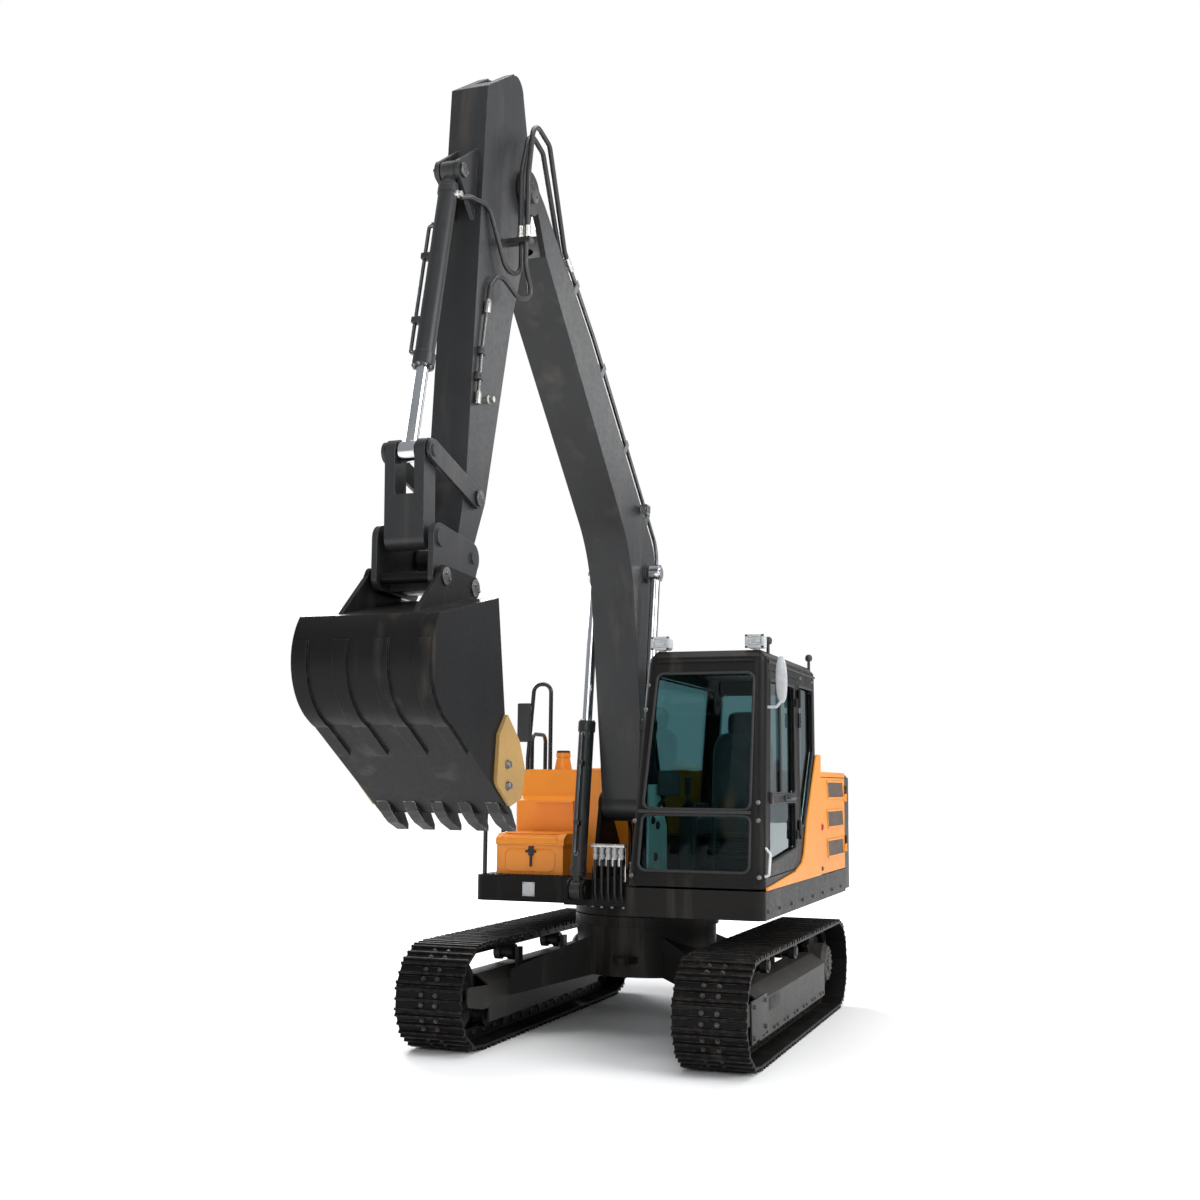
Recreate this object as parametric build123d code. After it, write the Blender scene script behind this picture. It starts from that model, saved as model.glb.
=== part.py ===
"""Crawler excavator with a cab, a boom, a stick, a quick coupler and a toothed bucket.

Frame in millimetres: +X forward, +Y to the machine's left, +Z up.
The origin lies on the ground under the slewing axis.
"""
from math import cos, hypot, pi, radians, sin
import os

from build123d import *

# Undercarriage sizes
TRACK_GAUGE = 1990
TRACK_LENGTH = 3690
TRACK_HEIGHT = 740
SHOE_WIDTH = 500
SHOE_COUNT = 45
SHOE_PLATE = 14
GROUSER_HEIGHT = 22
LINK_HEIGHT = 75
LINK_WIDTH = 45
LINK_GAP = 60
FRAME_HALF_WIDTH = 180
FRAME_PLATE = 15
FRAME_BOTTOM = 150
FRAME_SHOULDER = 410
FRAME_ROOF = 485
FRAME_ROOF_HALF = 70
ROLLERS_PER_SIDE = 7
ROLLER_PITCH = 340
ROLLER_RADIUS = 74
CARRIER_RADIUS = 60
CARRIER_X = (-480, 480)
BRACKET_IN = 126
BRACKET_OUT = 96
SPROCKET_TEETH = 21
DRUM_RADIUS = 165
BODY_RADIUS = 540
BODY_BOTTOM = 430
BODY_TOP = 800
BODY_PLATE = 18
RING_TOP = 872
RING_OUTER = 560
RING_INNER = 470
TOW_BORE = 30
TOW_X = 600
TOW_Z = 560
TOW_HALF = 24

# Upper structure sizes
DECK_BOTTOM = 955
DECK_TOP = 1150
DECK_PLATE = 16
HOUSE_HALF = 1245
CAB_FRONT = 1335
SLOT_FRONT = 660
STEP_FRONT = 530
DECK_REAR = -1800
SLOT_LEFT = 270
SLOT_RIGHT = -450
TAIL_SIDE_DEPTH = 260
TAIL_MID_DEPTH = 480
TAIL_WALL = 90
LIFT_X = DECK_REAR - 180
LIFT_Y = (-600, 600)
LIFT_BORE = 28
LAMP_PLACE = (600, 3953)
HOOD_TOP = 1975
HOOD_FRONT = -640
HOOD_RIGHT = -300
PANEL = 40
HINGE_X = DECK_REAR + 14
HINGE_Z = (1330, 1760)
HINGE_OUT = 12
TANK_FRONT = -30
TANK_RIGHT = -HOUSE_HALF + 95
TANK_LEFT = -562
FILLER = (TANK_FRONT - 275, -840)
TOOL_FRONT = 400
TOOL_TOP = 1470
TOOL_LID = 1380
RAIL_RADIUS = 17
RAIL_TOP = 2680
LOW_RAIL_TOP = 2270
STEP_RAIL_TOP = 1900
TRIM_THICK = 15
VENT_BORDER = 18
VENT_RAISE = 8
VENT_SLATS = 4
BOOM_PLANE = -50

# Cab sizes
CAB_FLOOR = 1166
CAB_WALL_RISE = 1549
CAB_ROOF_RISE = 85
CAB_EAVES = CAB_FLOOR + CAB_WALL_RISE
CAB_ROOF = CAB_EAVES + CAB_ROOF_RISE
CAB_REAR = -560
CAB_WALL = 60
CAB_CORNER = 70
CAB_MID = (SLOT_LEFT + HOUSE_HALF) / 2
SEAT_HALF = (HOUSE_HALF - SLOT_LEFT) / 2 - 238
HATCH = (560, 480)
CAB_FRONT_LEAN = 120
CAB_RIGHT_LEAN = 115
CAB_LEFT_LEAN = 10
GLASS = 6
DOOR_REAR = 205
DOOR_FRONT = CAB_FRONT - 97

# Front linkage points, as (x, z) at rest
BOOM_FOOT = (350, 1700)
BOOM_CYL_FOOT = (790, 1080)
BOOM_ROD_PIN = (450, 3480)
STICK_PIVOT = (2880, 5580)
STICK_CYL_FOOT = (920, 4420)
STICK_TAIL = (3020, 6200)
BUCKET_CYL_FOOT = (3700, 5400)
ROCKER_PIVOT = (3540, 3480)
LINK_TOP = (4115, 3635)
LINK_FOOT = (4100, 3160)
BUCKET_PIVOT = (3680, 3110)
BUCKET_PIN_FRONT = (3740, 2930)
BUCKET_PIN_REAR = (4110, 2945)
BOOM_HALF = 170
BOOM_SIDE_PLATE = 12
BOOM_EDGE_PLATE = 14
FORK_HALF = 130
FORK_DEPTH = 415
STICK_HALF = 120
STICK_PLATE = 11
TAIL_SLOT = 56
TAIL_SLOT_REACH = 292
BOOM_CYL_OFFSET = 246
BOOM_EYE_HALF = 40
ROCKER_OUT = 147
COUPLER_IN = 152
COUPLER_OUT = 184
LIP = (3590, 1690)
FLOOR_END = (4350, 2150)
HEEL = (4592, 2450)
BACK_TOP = (4520, 2700)
MOUTH_TOP = (3800, 2862)
BOOM_BELLY = (810, 3571)
BOOM_RIM = ((2660, 5590), (1700, 4905), (228, 3670), (345, 2850))
PIPE_RADIUS = 15
PIPE_RISE = 110
PIPE_LANES = (112, 150)
PIPE_BEND = 240
PIPE_LOW = 2350
PIPE_TOP_SHARE = 0.48
CLAMP_HALF = 24
HOSE_RADIUS = 17
HOSE_BLOCK = (3130, 5140)
HOSE_LANES = (205, 250)
CUTTER_THICK = 24
WEAR_BAR = 14
BUCKET_HALF = 400
BUCKET_SIDE = 18
BUCKET_WRAP = 16
TEETH = 5

# Clearances
SEAT = 0.3
PIN_GAP = 0.3
MOVE_GAP = 6
DOOR_GAP = 6
LUG_GAP = 8
HEAD_STEP = 8

# Sizes that follow from those above
CYL_LUGS = ((BOOM_CYL_OFFSET - BOOM_EYE_HALF - LUG_GAP - 20, BOOM_CYL_OFFSET - BOOM_EYE_HALF - LUG_GAP),
            (BOOM_CYL_OFFSET + BOOM_EYE_HALF + LUG_GAP, BOOM_CYL_OFFSET + BOOM_EYE_HALF + LUG_GAP + 16))
SIDE_LOW = DECK_TOP + DOOR_GAP
SIDE_HIGH = HOOD_TOP - PANEL - DOOR_GAP
TOOL_REAR = TANK_FRONT + SEAT
LID_REAR = TOOL_REAR + 16
RAIL_X = TANK_FRONT - 140
RAIL_Y = TANK_RIGHT + 45
ROCKER_IN = STICK_HALF + MOVE_GAP
EAR_IN = COUPLER_OUT + 18
EAR_OUT = EAR_IN + 26

# Track path shared by the shoes, the chain and the wheels
AXLE_Z = TRACK_HEIGHT / 2
HALF_BASE = (TRACK_LENGTH - TRACK_HEIGHT) / 2
PLATE_RADIUS = AXLE_Z - GROUSER_HEIGHT
TRACK_RUN = 2 * HALF_BASE
TRACK_PATH = 2 * (TRACK_RUN + pi * PLATE_RADIUS)
SHOE_PITCH = TRACK_PATH / SHOE_COUNT
HALF_TURN = SHOE_PITCH / (2 * PLATE_RADIUS)
CHAIN_OFFSET = SHOE_PLATE + LINK_HEIGHT
WHEEL_RADIUS = (PLATE_RADIUS - CHAIN_OFFSET) * cos(HALF_TURN) - SEAT
CHAIN_BOTTOM = GROUSER_HEIGHT + CHAIN_OFFSET
CHAIN_TOP = TRACK_HEIGHT - CHAIN_BOTTOM
TRACK_Y = TRACK_GAUGE / 2
ROLLER_SPAN = FRAME_HALF_WIDTH - FRAME_PLATE - SEAT
LINK_EDGE = LINK_GAP / 2 + LINK_WIDTH
CARRIER_Z = CHAIN_TOP - SEAT - CARRIER_RADIUS


def block(x0, x1, y0, y1, z0, z1):
    """Box between two corners."""
    return Pos((x0 + x1) / 2, (y0 + y1) / 2, (z0 + z1) / 2) * Box(x1 - x0, y1 - y0, z1 - z0)


def slab(face, y0, y1):
    """Sweep a face drawn in (x, z) from y0 to y1."""
    plane = Plane(origin=(0, y1, 0), x_dir=(1, 0, 0), z_dir=(0, -1, 0))
    return extrude(plane * face, amount=y1 - y0, dir=(0, -1, 0))


def along_x(face, x0, x1):
    """Sweep a face drawn in (y, z) from x0 to x1."""
    plane = Plane(origin=(x0, 0, 0), x_dir=(0, 1, 0), z_dir=(1, 0, 0))
    return extrude(plane * face, amount=x1 - x0, dir=(1, 0, 0))


def upright(face, z0, z1):
    """Sweep a face drawn in (x, y) from z0 to z1."""
    return extrude(Pos(0, 0, z0) * face, amount=z1 - z0, dir=(0, 0, 1))


def rod_y(point, radius, y0, y1):
    """Round bar along Y at an (x, z) point."""
    return Location((point[0], (y0 + y1) / 2, point[1]), (90, 0, 0)) * Cylinder(radius, y1 - y0)


def disc(point, radius):
    """Round face at an (x, z) point."""
    return Pos(point[0], point[1]) * Circle(radius)


def poly(*points):
    """Face with straight edges."""
    return Polygon(*points, align=None)


def bar_face(p, rp, q, rq):
    """Face of a straight bar with a round end at each pin."""
    dx, dz = q[0] - p[0], q[1] - p[1]
    length = hypot(dx, dz)
    nx, nz = -dz / length, dx / length
    web = poly((p[0] + nx * rp, p[1] + nz * rp), (p[0] - nx * rp, p[1] - nz * rp),
               (q[0] - nx * rq, q[1] - nz * rq), (q[0] + nx * rq, q[1] + nz * rq))
    return web + disc(p, rp) + disc(q, rq)


def turned(points, y_mid, x, z):
    """Solid of revolution about an axis along Y; points are (offset along y, radius)."""
    face = make_face(Polyline(*points, close=True))
    plane = Plane(origin=(x, y_mid, z), x_dir=(0, 1, 0), z_dir=(1, 0, 0))
    axis = Axis((x, y_mid, z), (0, 1, 0))
    return revolve(plane * face, axis)


def side_pair(shape):
    """A piece on the left and its mirror image on the right."""
    return shape, mirror(shape, about=Plane.XZ)


def both(shape):
    """Left piece and mirror image together."""
    left, right = side_pair(shape)
    return Compound(children=[left, right])


def track_point(s, inset):
    """Point on the track path, moved inward by inset."""
    s = s % TRACK_PATH
    wrap = pi * PLATE_RADIUS
    if s < TRACK_RUN:
        return (s - HALF_BASE, AXLE_Z - PLATE_RADIUS + inset)
    if s < TRACK_RUN + wrap:
        a = (s - TRACK_RUN) / PLATE_RADIUS - pi / 2
        r = PLATE_RADIUS - inset
        return (HALF_BASE + r * cos(a), AXLE_Z + r * sin(a))
    if s < 2 * TRACK_RUN + wrap:
        return (HALF_BASE - (s - TRACK_RUN - wrap), AXLE_Z + PLATE_RADIUS - inset)
    a = (s - 2 * TRACK_RUN - wrap) / PLATE_RADIUS + pi / 2
    r = PLATE_RADIUS - inset
    return (-HALF_BASE + r * cos(a), AXLE_Z + r * sin(a))


def chain_outline(inset):
    """Closed line with a corner at each shoe joint, without points inside straight runs."""
    ring = [track_point(i * SHOE_PITCH, inset) for i in range(SHOE_COUNT)]
    kept = []
    for i, p in enumerate(ring):
        a = ring[i - 1]
        b = ring[(i + 1) % SHOE_COUNT]
        bend = (p[0] - a[0]) * (b[1] - p[1]) - (p[1] - a[1]) * (b[0] - p[0])
        if abs(bend) > 1:
            kept.append(p)
    return kept


def shoe_outline():
    """Outer line of all shoes with three grousers on each."""
    points = []
    for i in range(SHOE_COUNT):
        a = track_point(i * SHOE_PITCH, 0)
        b = track_point((i + 1) * SHOE_PITCH, 0)
        length = hypot(b[0] - a[0], b[1] - a[1])
        d = ((b[0] - a[0]) / length, (b[1] - a[1]) / length)
        n = (d[1], -d[0])
        for centre in (0.11, 0.5, 0.89):
            for along, out in ((-0.075, 0), (-0.035, 1), (0.035, 1), (0.075, 0)):
                t = (centre + along) * length
                h = out * GROUSER_HEIGHT
                points.append((a[0] + d[0] * t + n[0] * h, a[1] + d[1] * t + n[1] * h))
    return points


def make_track():
    """Loop of shoes with its two rows of links, for the left side."""
    belt = poly(*shoe_outline()) - poly(*chain_outline(SHOE_PLATE))
    loop = slab(belt, TRACK_Y - SHOE_WIDTH / 2, TRACK_Y + SHOE_WIDTH / 2)
    row = poly(*chain_outline(SHOE_PLATE - 2)) - poly(*chain_outline(CHAIN_OFFSET))
    for side in (-1, 1):
        a = TRACK_Y + side * LINK_GAP / 2
        b = TRACK_Y + side * (LINK_GAP / 2 + LINK_WIDTH)
        loop += slab(row, min(a, b), max(a, b))
    return loop


def make_rollers():
    """Bottom rollers of the left side."""
    z = CHAIN_BOTTOM + SEAT + ROLLER_RADIUS
    flange = ROLLER_RADIUS + 18
    inner = LINK_GAP / 2 - 2
    outer = LINK_EDGE + 5
    rim = LINK_EDGE + 22
    half = [(inner, 56), (inner, ROLLER_RADIUS), (outer, ROLLER_RADIUS), (outer, flange),
            (rim, flange), (rim, 52), (rim + 16, 52), (rim + 16, 30), (ROLLER_SPAN, 30)]
    line = [(-y, r) for y, r in reversed(half)] + half
    line = [(-ROLLER_SPAN, 0)] + line + [(ROLLER_SPAN, 0)]
    first = -(ROLLERS_PER_SIDE - 1) / 2 * ROLLER_PITCH
    return [turned(line, TRACK_Y, first + i * ROLLER_PITCH, z) for i in range(ROLLERS_PER_SIDE)]


def make_carriers():
    """Upper rollers of the left side, each on a stub from its bracket."""
    inner = LINK_GAP / 2 - 2
    outer = LINK_EDGE + 5
    line = [(-BRACKET_OUT + SEAT, 0), (-BRACKET_OUT + SEAT, 26), (-outer, 26),
            (-outer, CARRIER_RADIUS), (-inner, CARRIER_RADIUS), (-inner, 46), (inner, 46),
            (inner, CARRIER_RADIUS), (outer, CARRIER_RADIUS), (outer, 40), (outer + 12, 34),
            (outer + 12, 0)]
    return [turned(line, TRACK_Y, x, CARRIER_Z) for x in CARRIER_X]


def make_idler():
    """Front wheel of the left track."""
    rim = LINK_EDGE + 4
    guide = LINK_GAP / 2 - 3
    half = [(guide, WHEEL_RADIUS + 24), (guide, WHEEL_RADIUS), (rim, WHEEL_RADIUS),
            (rim, WHEEL_RADIUS - 40), (40, WHEEL_RADIUS - 62), (40, 120), (70, 100), (110, 92),
            (110, 45), (ROLLER_SPAN, 45)]
    line = [(-y, r) for y, r in reversed(half)] + half
    line = [(-ROLLER_SPAN, 0)] + line + [(ROLLER_SPAN, 0)]
    return turned(line, TRACK_Y, HALF_BASE, AXLE_Z)


def make_sprocket():
    """Toothed drive ring of the left track."""
    root = WHEEL_RADIUS - 6
    tip = root + 48
    points = []
    step = 2 * pi / SPROCKET_TEETH
    for i in range(SPROCKET_TEETH):
        for part, r in ((-0.40, root), (-0.13, tip), (0.13, tip), (0.40, root)):
            a = (i + part) * step
            points.append((-HALF_BASE + r * cos(a), AXLE_Z + r * sin(a)))
    face = poly(*points) - disc((-HALF_BASE, AXLE_Z), DRUM_RADIUS + SEAT)
    half = LINK_GAP / 2 - 5
    ring = slab(face, TRACK_Y - half, TRACK_Y + half)
    holes = [disc((-HALF_BASE + 205 * cos(radians(a)), AXLE_Z + 205 * sin(radians(a))), 14)
             for a in range(0, 360, 60)]
    for hole in holes:
        ring -= slab(hole, TRACK_Y - half, TRACK_Y + half)
    return ring


def make_final_drive():
    """Travel motor and reduction drum of the left track."""
    seat = -(FRAME_HALF_WIDTH - FRAME_PLATE) + SEAT
    line = [(seat, 0), (seat, DRUM_RADIUS + 14), (seat + 34, DRUM_RADIUS + 14),
            (seat + 34, DRUM_RADIUS), (118, DRUM_RADIUS), (132, DRUM_RADIUS - 16),
            (150, DRUM_RADIUS - 26), (156, 70), (166, 66), (166, 0)]
    return turned(line, TRACK_Y, -HALF_BASE, AXLE_Z)


def make_track_frame():
    """Side frame that carries the rollers of the left track."""
    w, t = FRAME_HALF_WIDTH, FRAME_PLATE
    rear, front = -HALF_BASE + 325, HALF_BASE - 300
    top = [(-w, FRAME_BOTTOM), (-w, FRAME_SHOULDER), (-FRAME_ROOF_HALF, FRAME_ROOF),
           (FRAME_ROOF_HALF, FRAME_ROOF), (w, FRAME_SHOULDER), (w, FRAME_BOTTOM)]
    low = [(-w + t, FRAME_BOTTOM), (-w + t, FRAME_SHOULDER - t * 0.55),
           (-FRAME_ROOF_HALF + 4, FRAME_ROOF - t), (FRAME_ROOF_HALF - 4, FRAME_ROOF - t),
           (w - t, FRAME_SHOULDER - t * 0.55), (w - t, FRAME_BOTTOM)]
    face = poly(*top) - poly(*low)
    frame = along_x(Pos(TRACK_Y, 0) * face, rear, front)
    arm = poly((front - 20, 255), (front + 120, 255), (HALF_BASE + 70, 300), (HALF_BASE + 85, 330),
               (HALF_BASE + 85, AXLE_Z + 45), (HALF_BASE + 60, AXLE_Z + 65), (front - 20, FRAME_SHOULDER))
    for a in (-w, w - t):
        frame += slab(arm, TRACK_Y + a, TRACK_Y + a + t)
    tail = poly((rear + 20, FRAME_BOTTOM + 40), (rear + 20, FRAME_SHOULDER),
                (-HALF_BASE, AXLE_Z + 185), (-HALF_BASE, AXLE_Z - 185))
    tail += disc((-HALF_BASE, AXLE_Z), 185)
    frame += slab(tail, TRACK_Y - w, TRACK_Y - w + t)
    for x in CARRIER_X:
        frame += block(x - 42, x + 42, TRACK_Y - BRACKET_IN, TRACK_Y - BRACKET_OUT,
                       FRAME_SHOULDER + 30, CARRIER_Z + 40)
    return frame


def make_car_body():
    """Centre drum with four legs that reach the side frames."""
    t = BODY_PLATE
    end = TRACK_Y - FRAME_HALF_WIDTH

    def leg(y_out, grow):
        a = Plane(origin=(600, y_out, 385), x_dir=(1, 0, 0), z_dir=(0, 1, 0))
        b = Plane(origin=(250, 250, 590), x_dir=(1, 0, 0), z_dir=(0, 1, 0))
        return loft([b * Rectangle(430 - grow, 300 - grow), a * Rectangle(420 - grow, 190 - grow)])

    outer = upright(Circle(BODY_RADIUS), BODY_BOTTOM, BODY_TOP)
    inner = upright(Circle(BODY_RADIUS - t), BODY_BOTTOM + t, BODY_TOP - t)
    for mx in (1, -1):
        for my in (1, -1):
            full = leg(end, 0)
            core = leg(end - t, 2 * t)
            if mx < 0:
                full = mirror(full, about=Plane.YZ)
                core = mirror(core, about=Plane.YZ)
            if my < 0:
                full = mirror(full, about=Plane.XZ)
                core = mirror(core, about=Plane.XZ)
            outer += full
            inner += core
    body = outer - inner
    body -= upright(Circle(170), BODY_BOTTOM, BODY_BOTTOM + t)
    body -= upright(Circle(RING_INNER - 120), BODY_TOP - t, BODY_TOP)
    for side in (1, -1):
        plan = poly((BODY_RADIUS - 60, 120), (BODY_RADIUS - 60, -120), (TOW_X, -70), (TOW_X, 70))
        plan += Pos(TOW_X, 0) * Circle(70)
        plan -= Pos(TOW_X, 0) * Circle(TOW_BORE)
        lug = upright(plan, TOW_Z - TOW_HALF, TOW_Z + TOW_HALF)
        body += lug if side > 0 else mirror(lug, about=Plane.YZ)
    return body


def make_slew_ring():
    """Outer race bolted on the car body."""
    face = Circle(RING_OUTER) - Circle(RING_INNER)
    return upright(face, BODY_TOP, RING_TOP)


def deck_outline(inset):
    """Plan of the deck, drawn in by inset."""
    i = inset
    face = poly((CAB_FRONT - i, HOUSE_HALF - i), (CAB_FRONT - i, SLOT_LEFT + i),
                (SLOT_FRONT - i, SLOT_LEFT + i), (SLOT_FRONT - i, SLOT_RIGHT + i),
                (STEP_FRONT - i, SLOT_RIGHT + i), (STEP_FRONT - i, -HOUSE_HALF + i),
                (DECK_REAR + i, -HOUSE_HALF + i), (DECK_REAR + i, HOUSE_HALF - i))
    corners = [v for v in face.vertices() if v.X > STEP_FRONT - i - 1 and abs(v.Y) > HOUSE_HALF - i - 1]
    return fillet(corners, 70 - i)


def make_platform():
    """Deck, main beams, slewing plate, boom brackets and cylinder lugs in one weldment."""
    t = DECK_PLATE
    deck = upright(deck_outline(0), DECK_BOTTOM, DECK_TOP)
    deck -= upright(deck_outline(t), DECK_BOTTOM, DECK_TOP - t)
    for side in (-1, 1):
        y = BOOM_PLANE + side * (BOOM_HALF + MOVE_GAP)
        y0, y1 = min(y, y + side * 30), max(y, y + side * 30)
        deck += block(DECK_REAR + 4, SLOT_FRONT - 4, y0, y1, DECK_BOTTOM, DECK_TOP - 2)
        ear = poly((-200, DECK_TOP - 4), (590, DECK_TOP - 4), (BOOM_FOOT[0] + 102, BOOM_FOOT[1] - 20),
                   (BOOM_FOOT[0] - 102, BOOM_FOOT[1] - 20))
        ear += disc(BOOM_FOOT, 105)
        ear -= disc(BOOM_FOOT, 40 + PIN_GAP)
        deck += slab(ear, y0, y1)
        foot = poly((SLOT_FRONT - 6, BOOM_CYL_FOOT[1] - 75), (BOOM_CYL_FOOT[0], BOOM_CYL_FOOT[1] - 75),
                    (BOOM_CYL_FOOT[0], BOOM_CYL_FOOT[1] + 75), (SLOT_FRONT - 6, BOOM_CYL_FOOT[1] + 68))
        foot += disc(BOOM_CYL_FOOT, 75)
        foot -= disc(BOOM_CYL_FOOT, 35 + PIN_GAP)
        for a, b in CYL_LUGS:
            ya, yb = BOOM_PLANE + side * a, BOOM_PLANE + side * b
            deck += slab(foot, min(ya, yb), max(ya, yb))
    deck += upright(Circle(620), DECK_BOTTOM, DECK_BOTTOM + 20)
    deck += upright(Circle(RING_OUTER), RING_TOP + MOVE_GAP, DECK_BOTTOM)
    neck = Circle(RING_INNER - SEAT) - Circle(RING_INNER - 70)
    deck += upright(neck, BODY_TOP + MOVE_GAP, RING_TOP + MOVE_GAP)
    deck -= upright(Circle(RING_INNER - 120), BODY_TOP, DECK_BOTTOM + 20)
    return deck


def make_house_pins():
    """Boom foot pin and the two pins under the boom cylinders."""
    y = BOOM_PLANE
    reach = BOOM_HALF + MOVE_GAP + 30
    pins = []
    foot = rod_y(BOOM_FOOT, 40, y - reach - 12, y + reach + 12)
    foot += rod_y(BOOM_FOOT, 58, y + reach + SEAT, y + reach + 14)
    foot += rod_y(BOOM_FOOT, 58, y - reach - 14, y - reach - SEAT)
    pins.append(foot)
    for side in (-1, 1):
        ends = sorted((y + side * (CYL_LUGS[0][0] - 2), y + side * (CYL_LUGS[1][1] + 3)))
        pins.append(rod_y(BOOM_CYL_FOOT, 35, ends[0], ends[1]))
    return Compound(children=pins)


def tail_plan(inset):
    """Plan of the tail weight with a curved rear, drawn in by inset."""
    front = DECK_REAR - SEAT
    half = HOUSE_HALF - inset
    side = front - TAIL_SIDE_DEPTH
    edge = Line((front, half), (side, half))
    edge += ThreePointArc((side, half), (front - TAIL_MID_DEPTH + inset, 0), (side, -half))
    edge += Line((side, -half), (front, -half)) + Line((front, -half), (front, half))
    return make_face(edge)


def make_counterweight():
    """Curved tail weight, open towards the engine."""
    front = DECK_REAR - SEAT
    half = HOUSE_HALF
    plan = tail_plan(0)
    rim = [v for v in plan.vertices() if v.X < front - 50]
    plan = fillet(rim, 120)
    body = upright(plan, DECK_BOTTOM + 20, HOOD_TOP)
    top = body.faces().sort_by(Axis.Z)[-1]
    edge = [e for e in top.edges() if e.center().X < front - 20]
    body = chamfer(edge, 45)
    body -= upright(tail_plan(TAIL_WALL), DECK_BOTTOM + 70, HOOD_TOP - 70)
    for y in LIFT_Y:
        eye = poly((LIFT_X - 90, HOOD_TOP - 10), (LIFT_X + 90, HOOD_TOP - 10), (LIFT_X + 60, HOOD_TOP + 60),
                   (LIFT_X - 60, HOOD_TOP + 60))
        eye += disc((LIFT_X, HOOD_TOP + 60), 60)
        eye -= disc((LIFT_X, HOOD_TOP + 60), LIFT_BORE)
        body += slab(eye, y - 18, y + 18)
    for y in (half, -half):
        for piece in hinge_leaves(y, -80, 70 + SEAT):
            body += piece
    return body


def make_engine():
    """Plain block of the engine's size with its mounting feet."""
    core = block(-1430, -860, -260, 560, DECK_TOP + 120, 1780)
    for x in (-1350, -940):
        for y in (-220, 520):
            core += block(x - 50, x + 50, y - 40, y + 40, DECK_TOP, DECK_TOP + 125)
    return core


def make_engine_housing():
    """Front wall, left post, inner bulkhead and right roof plate around the engine bay."""
    low, high = DECK_TOP, HOOD_TOP - PANEL - SEAT
    wall = block(HOOD_FRONT, HOOD_FRONT + 24, HOOD_RIGHT - DOOR_GAP, HOUSE_HALF, low, high)
    wall += block(HOOD_FRONT, CAB_REAR - 12, HOUSE_HALF - PANEL, HOUSE_HALF, low, high)
    wall += block(DECK_REAR, HOOD_FRONT + 24, HOOD_RIGHT - 26, HOOD_RIGHT - DOOR_GAP, low, HOOD_TOP)
    wall += block(DECK_REAR, HOOD_FRONT + 24, -HOUSE_HALF, HOOD_RIGHT - 20, HOOD_TOP - PANEL, HOOD_TOP)
    wall += block(HOOD_FRONT, HOOD_FRONT + 24, -HOUSE_HALF, HOOD_RIGHT - DOOR_GAP, low, HOOD_TOP)
    return wall


def make_hood():
    """Lid over the engine, hinged at its front edge."""
    skin = block(DECK_REAR + DOOR_GAP, HOOD_FRONT + 20, HOOD_RIGHT, HOUSE_HALF, HOOD_TOP - PANEL, HOOD_TOP)
    skin -= block(DECK_REAR + 36, HOOD_FRONT - 10, HOOD_RIGHT + 30, HOUSE_HALF - 30,
                  HOOD_TOP - PANEL, HOOD_TOP - 8)
    for y in (100, 900):
        skin += rod_y((HOOD_FRONT + 20, HOOD_TOP), 9, y - 60, y + 60)
    return skin


def make_side_trim():
    """Swept side panel below and behind the cab door."""
    low, high = DECK_TOP + 4, HOOD_TOP + 135
    heel = (DOOR_REAR - 145, CAB_FLOOR + 134)
    waist = (DOOR_REAR - 295, HOOD_TOP - 375)
    peak = (CAB_REAR + 80, high)
    face = poly((DOOR_FRONT + 40, low), (DOOR_FRONT + 40, CAB_FLOOR + 8), (DOOR_REAR + 150, CAB_FLOOR + 70),
                heel, waist, peak, (HOOD_FRONT + 6, high), (HOOD_FRONT + 6, low))
    for corner, radius in ((heel, 180), (waist, 500), (peak, 60)):
        face = fillet(face.vertices().sort_by_distance((*corner, 0))[0], radius)
    panel = slab(face, HOUSE_HALF + SEAT, HOUSE_HALF + TRIM_THICK)
    return chamfer(panel.faces().sort_by(Axis.Y)[-1].edges(), 4)


def louvre_panel(x0, x1, y0, y1, z0, z1, vents):
    """Door skin with raised edges and framed vents, each with slats across it."""
    skin = block(x0, x1, y0, y1, z0, z1)
    inner = y0 if y0 > 0 else y0 + 8
    outer = y1 - 8 if y0 > 0 else y1
    skin -= block(x0 + 28, x1 - 28, inner, outer, z0 + 28, z1 - 28)
    skin_in, skin_out = (y1 - 8, y1) if y0 > 0 else (y0, y0 + 8)
    frame_in, frame_out = (y1 - 4, y1 + VENT_RAISE) if y0 > 0 else (y0 - VENT_RAISE, y0 + 4)
    for rear, front, low, high in vents:
        lean = 0.35 * (high - low)
        opening = poly((rear, low), (front - lean, low), (front, high), (rear + lean, high))
        skin += slab(offset(opening, VENT_BORDER, kind=Kind.INTERSECTION), frame_in, frame_out)
        skin -= slab(opening, y0 - 20, y1 + 20)
        for k in range(VENT_SLATS):
            z = low + (k + 0.5) * (high - low) / VENT_SLATS
            bar = poly((rear - 50, z - 6), (front + 50, z - 6), (front + 50, z + 6), (rear - 50, z + 6))
            skin += slab(bar & offset(opening, 2, kind=Kind.INTERSECTION), skin_in, skin_out)
    return skin


def make_left_door():
    """Radiator side door with three vents, hinged at its rear edge."""
    vents = [(DECK_REAR + 110, HOOD_FRONT - 320, z, z + 120) for z in (1290, 1530, 1770)]
    door = louvre_panel(HINGE_X, HOOD_FRONT - DOOR_GAP, HOUSE_HALF - PANEL, HOUSE_HALF,
                        SIDE_LOW, SIDE_HIGH, vents)
    for piece in hinge_leaves(HOUSE_HALF, 60, 0):
        door += piece
    return door


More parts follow.
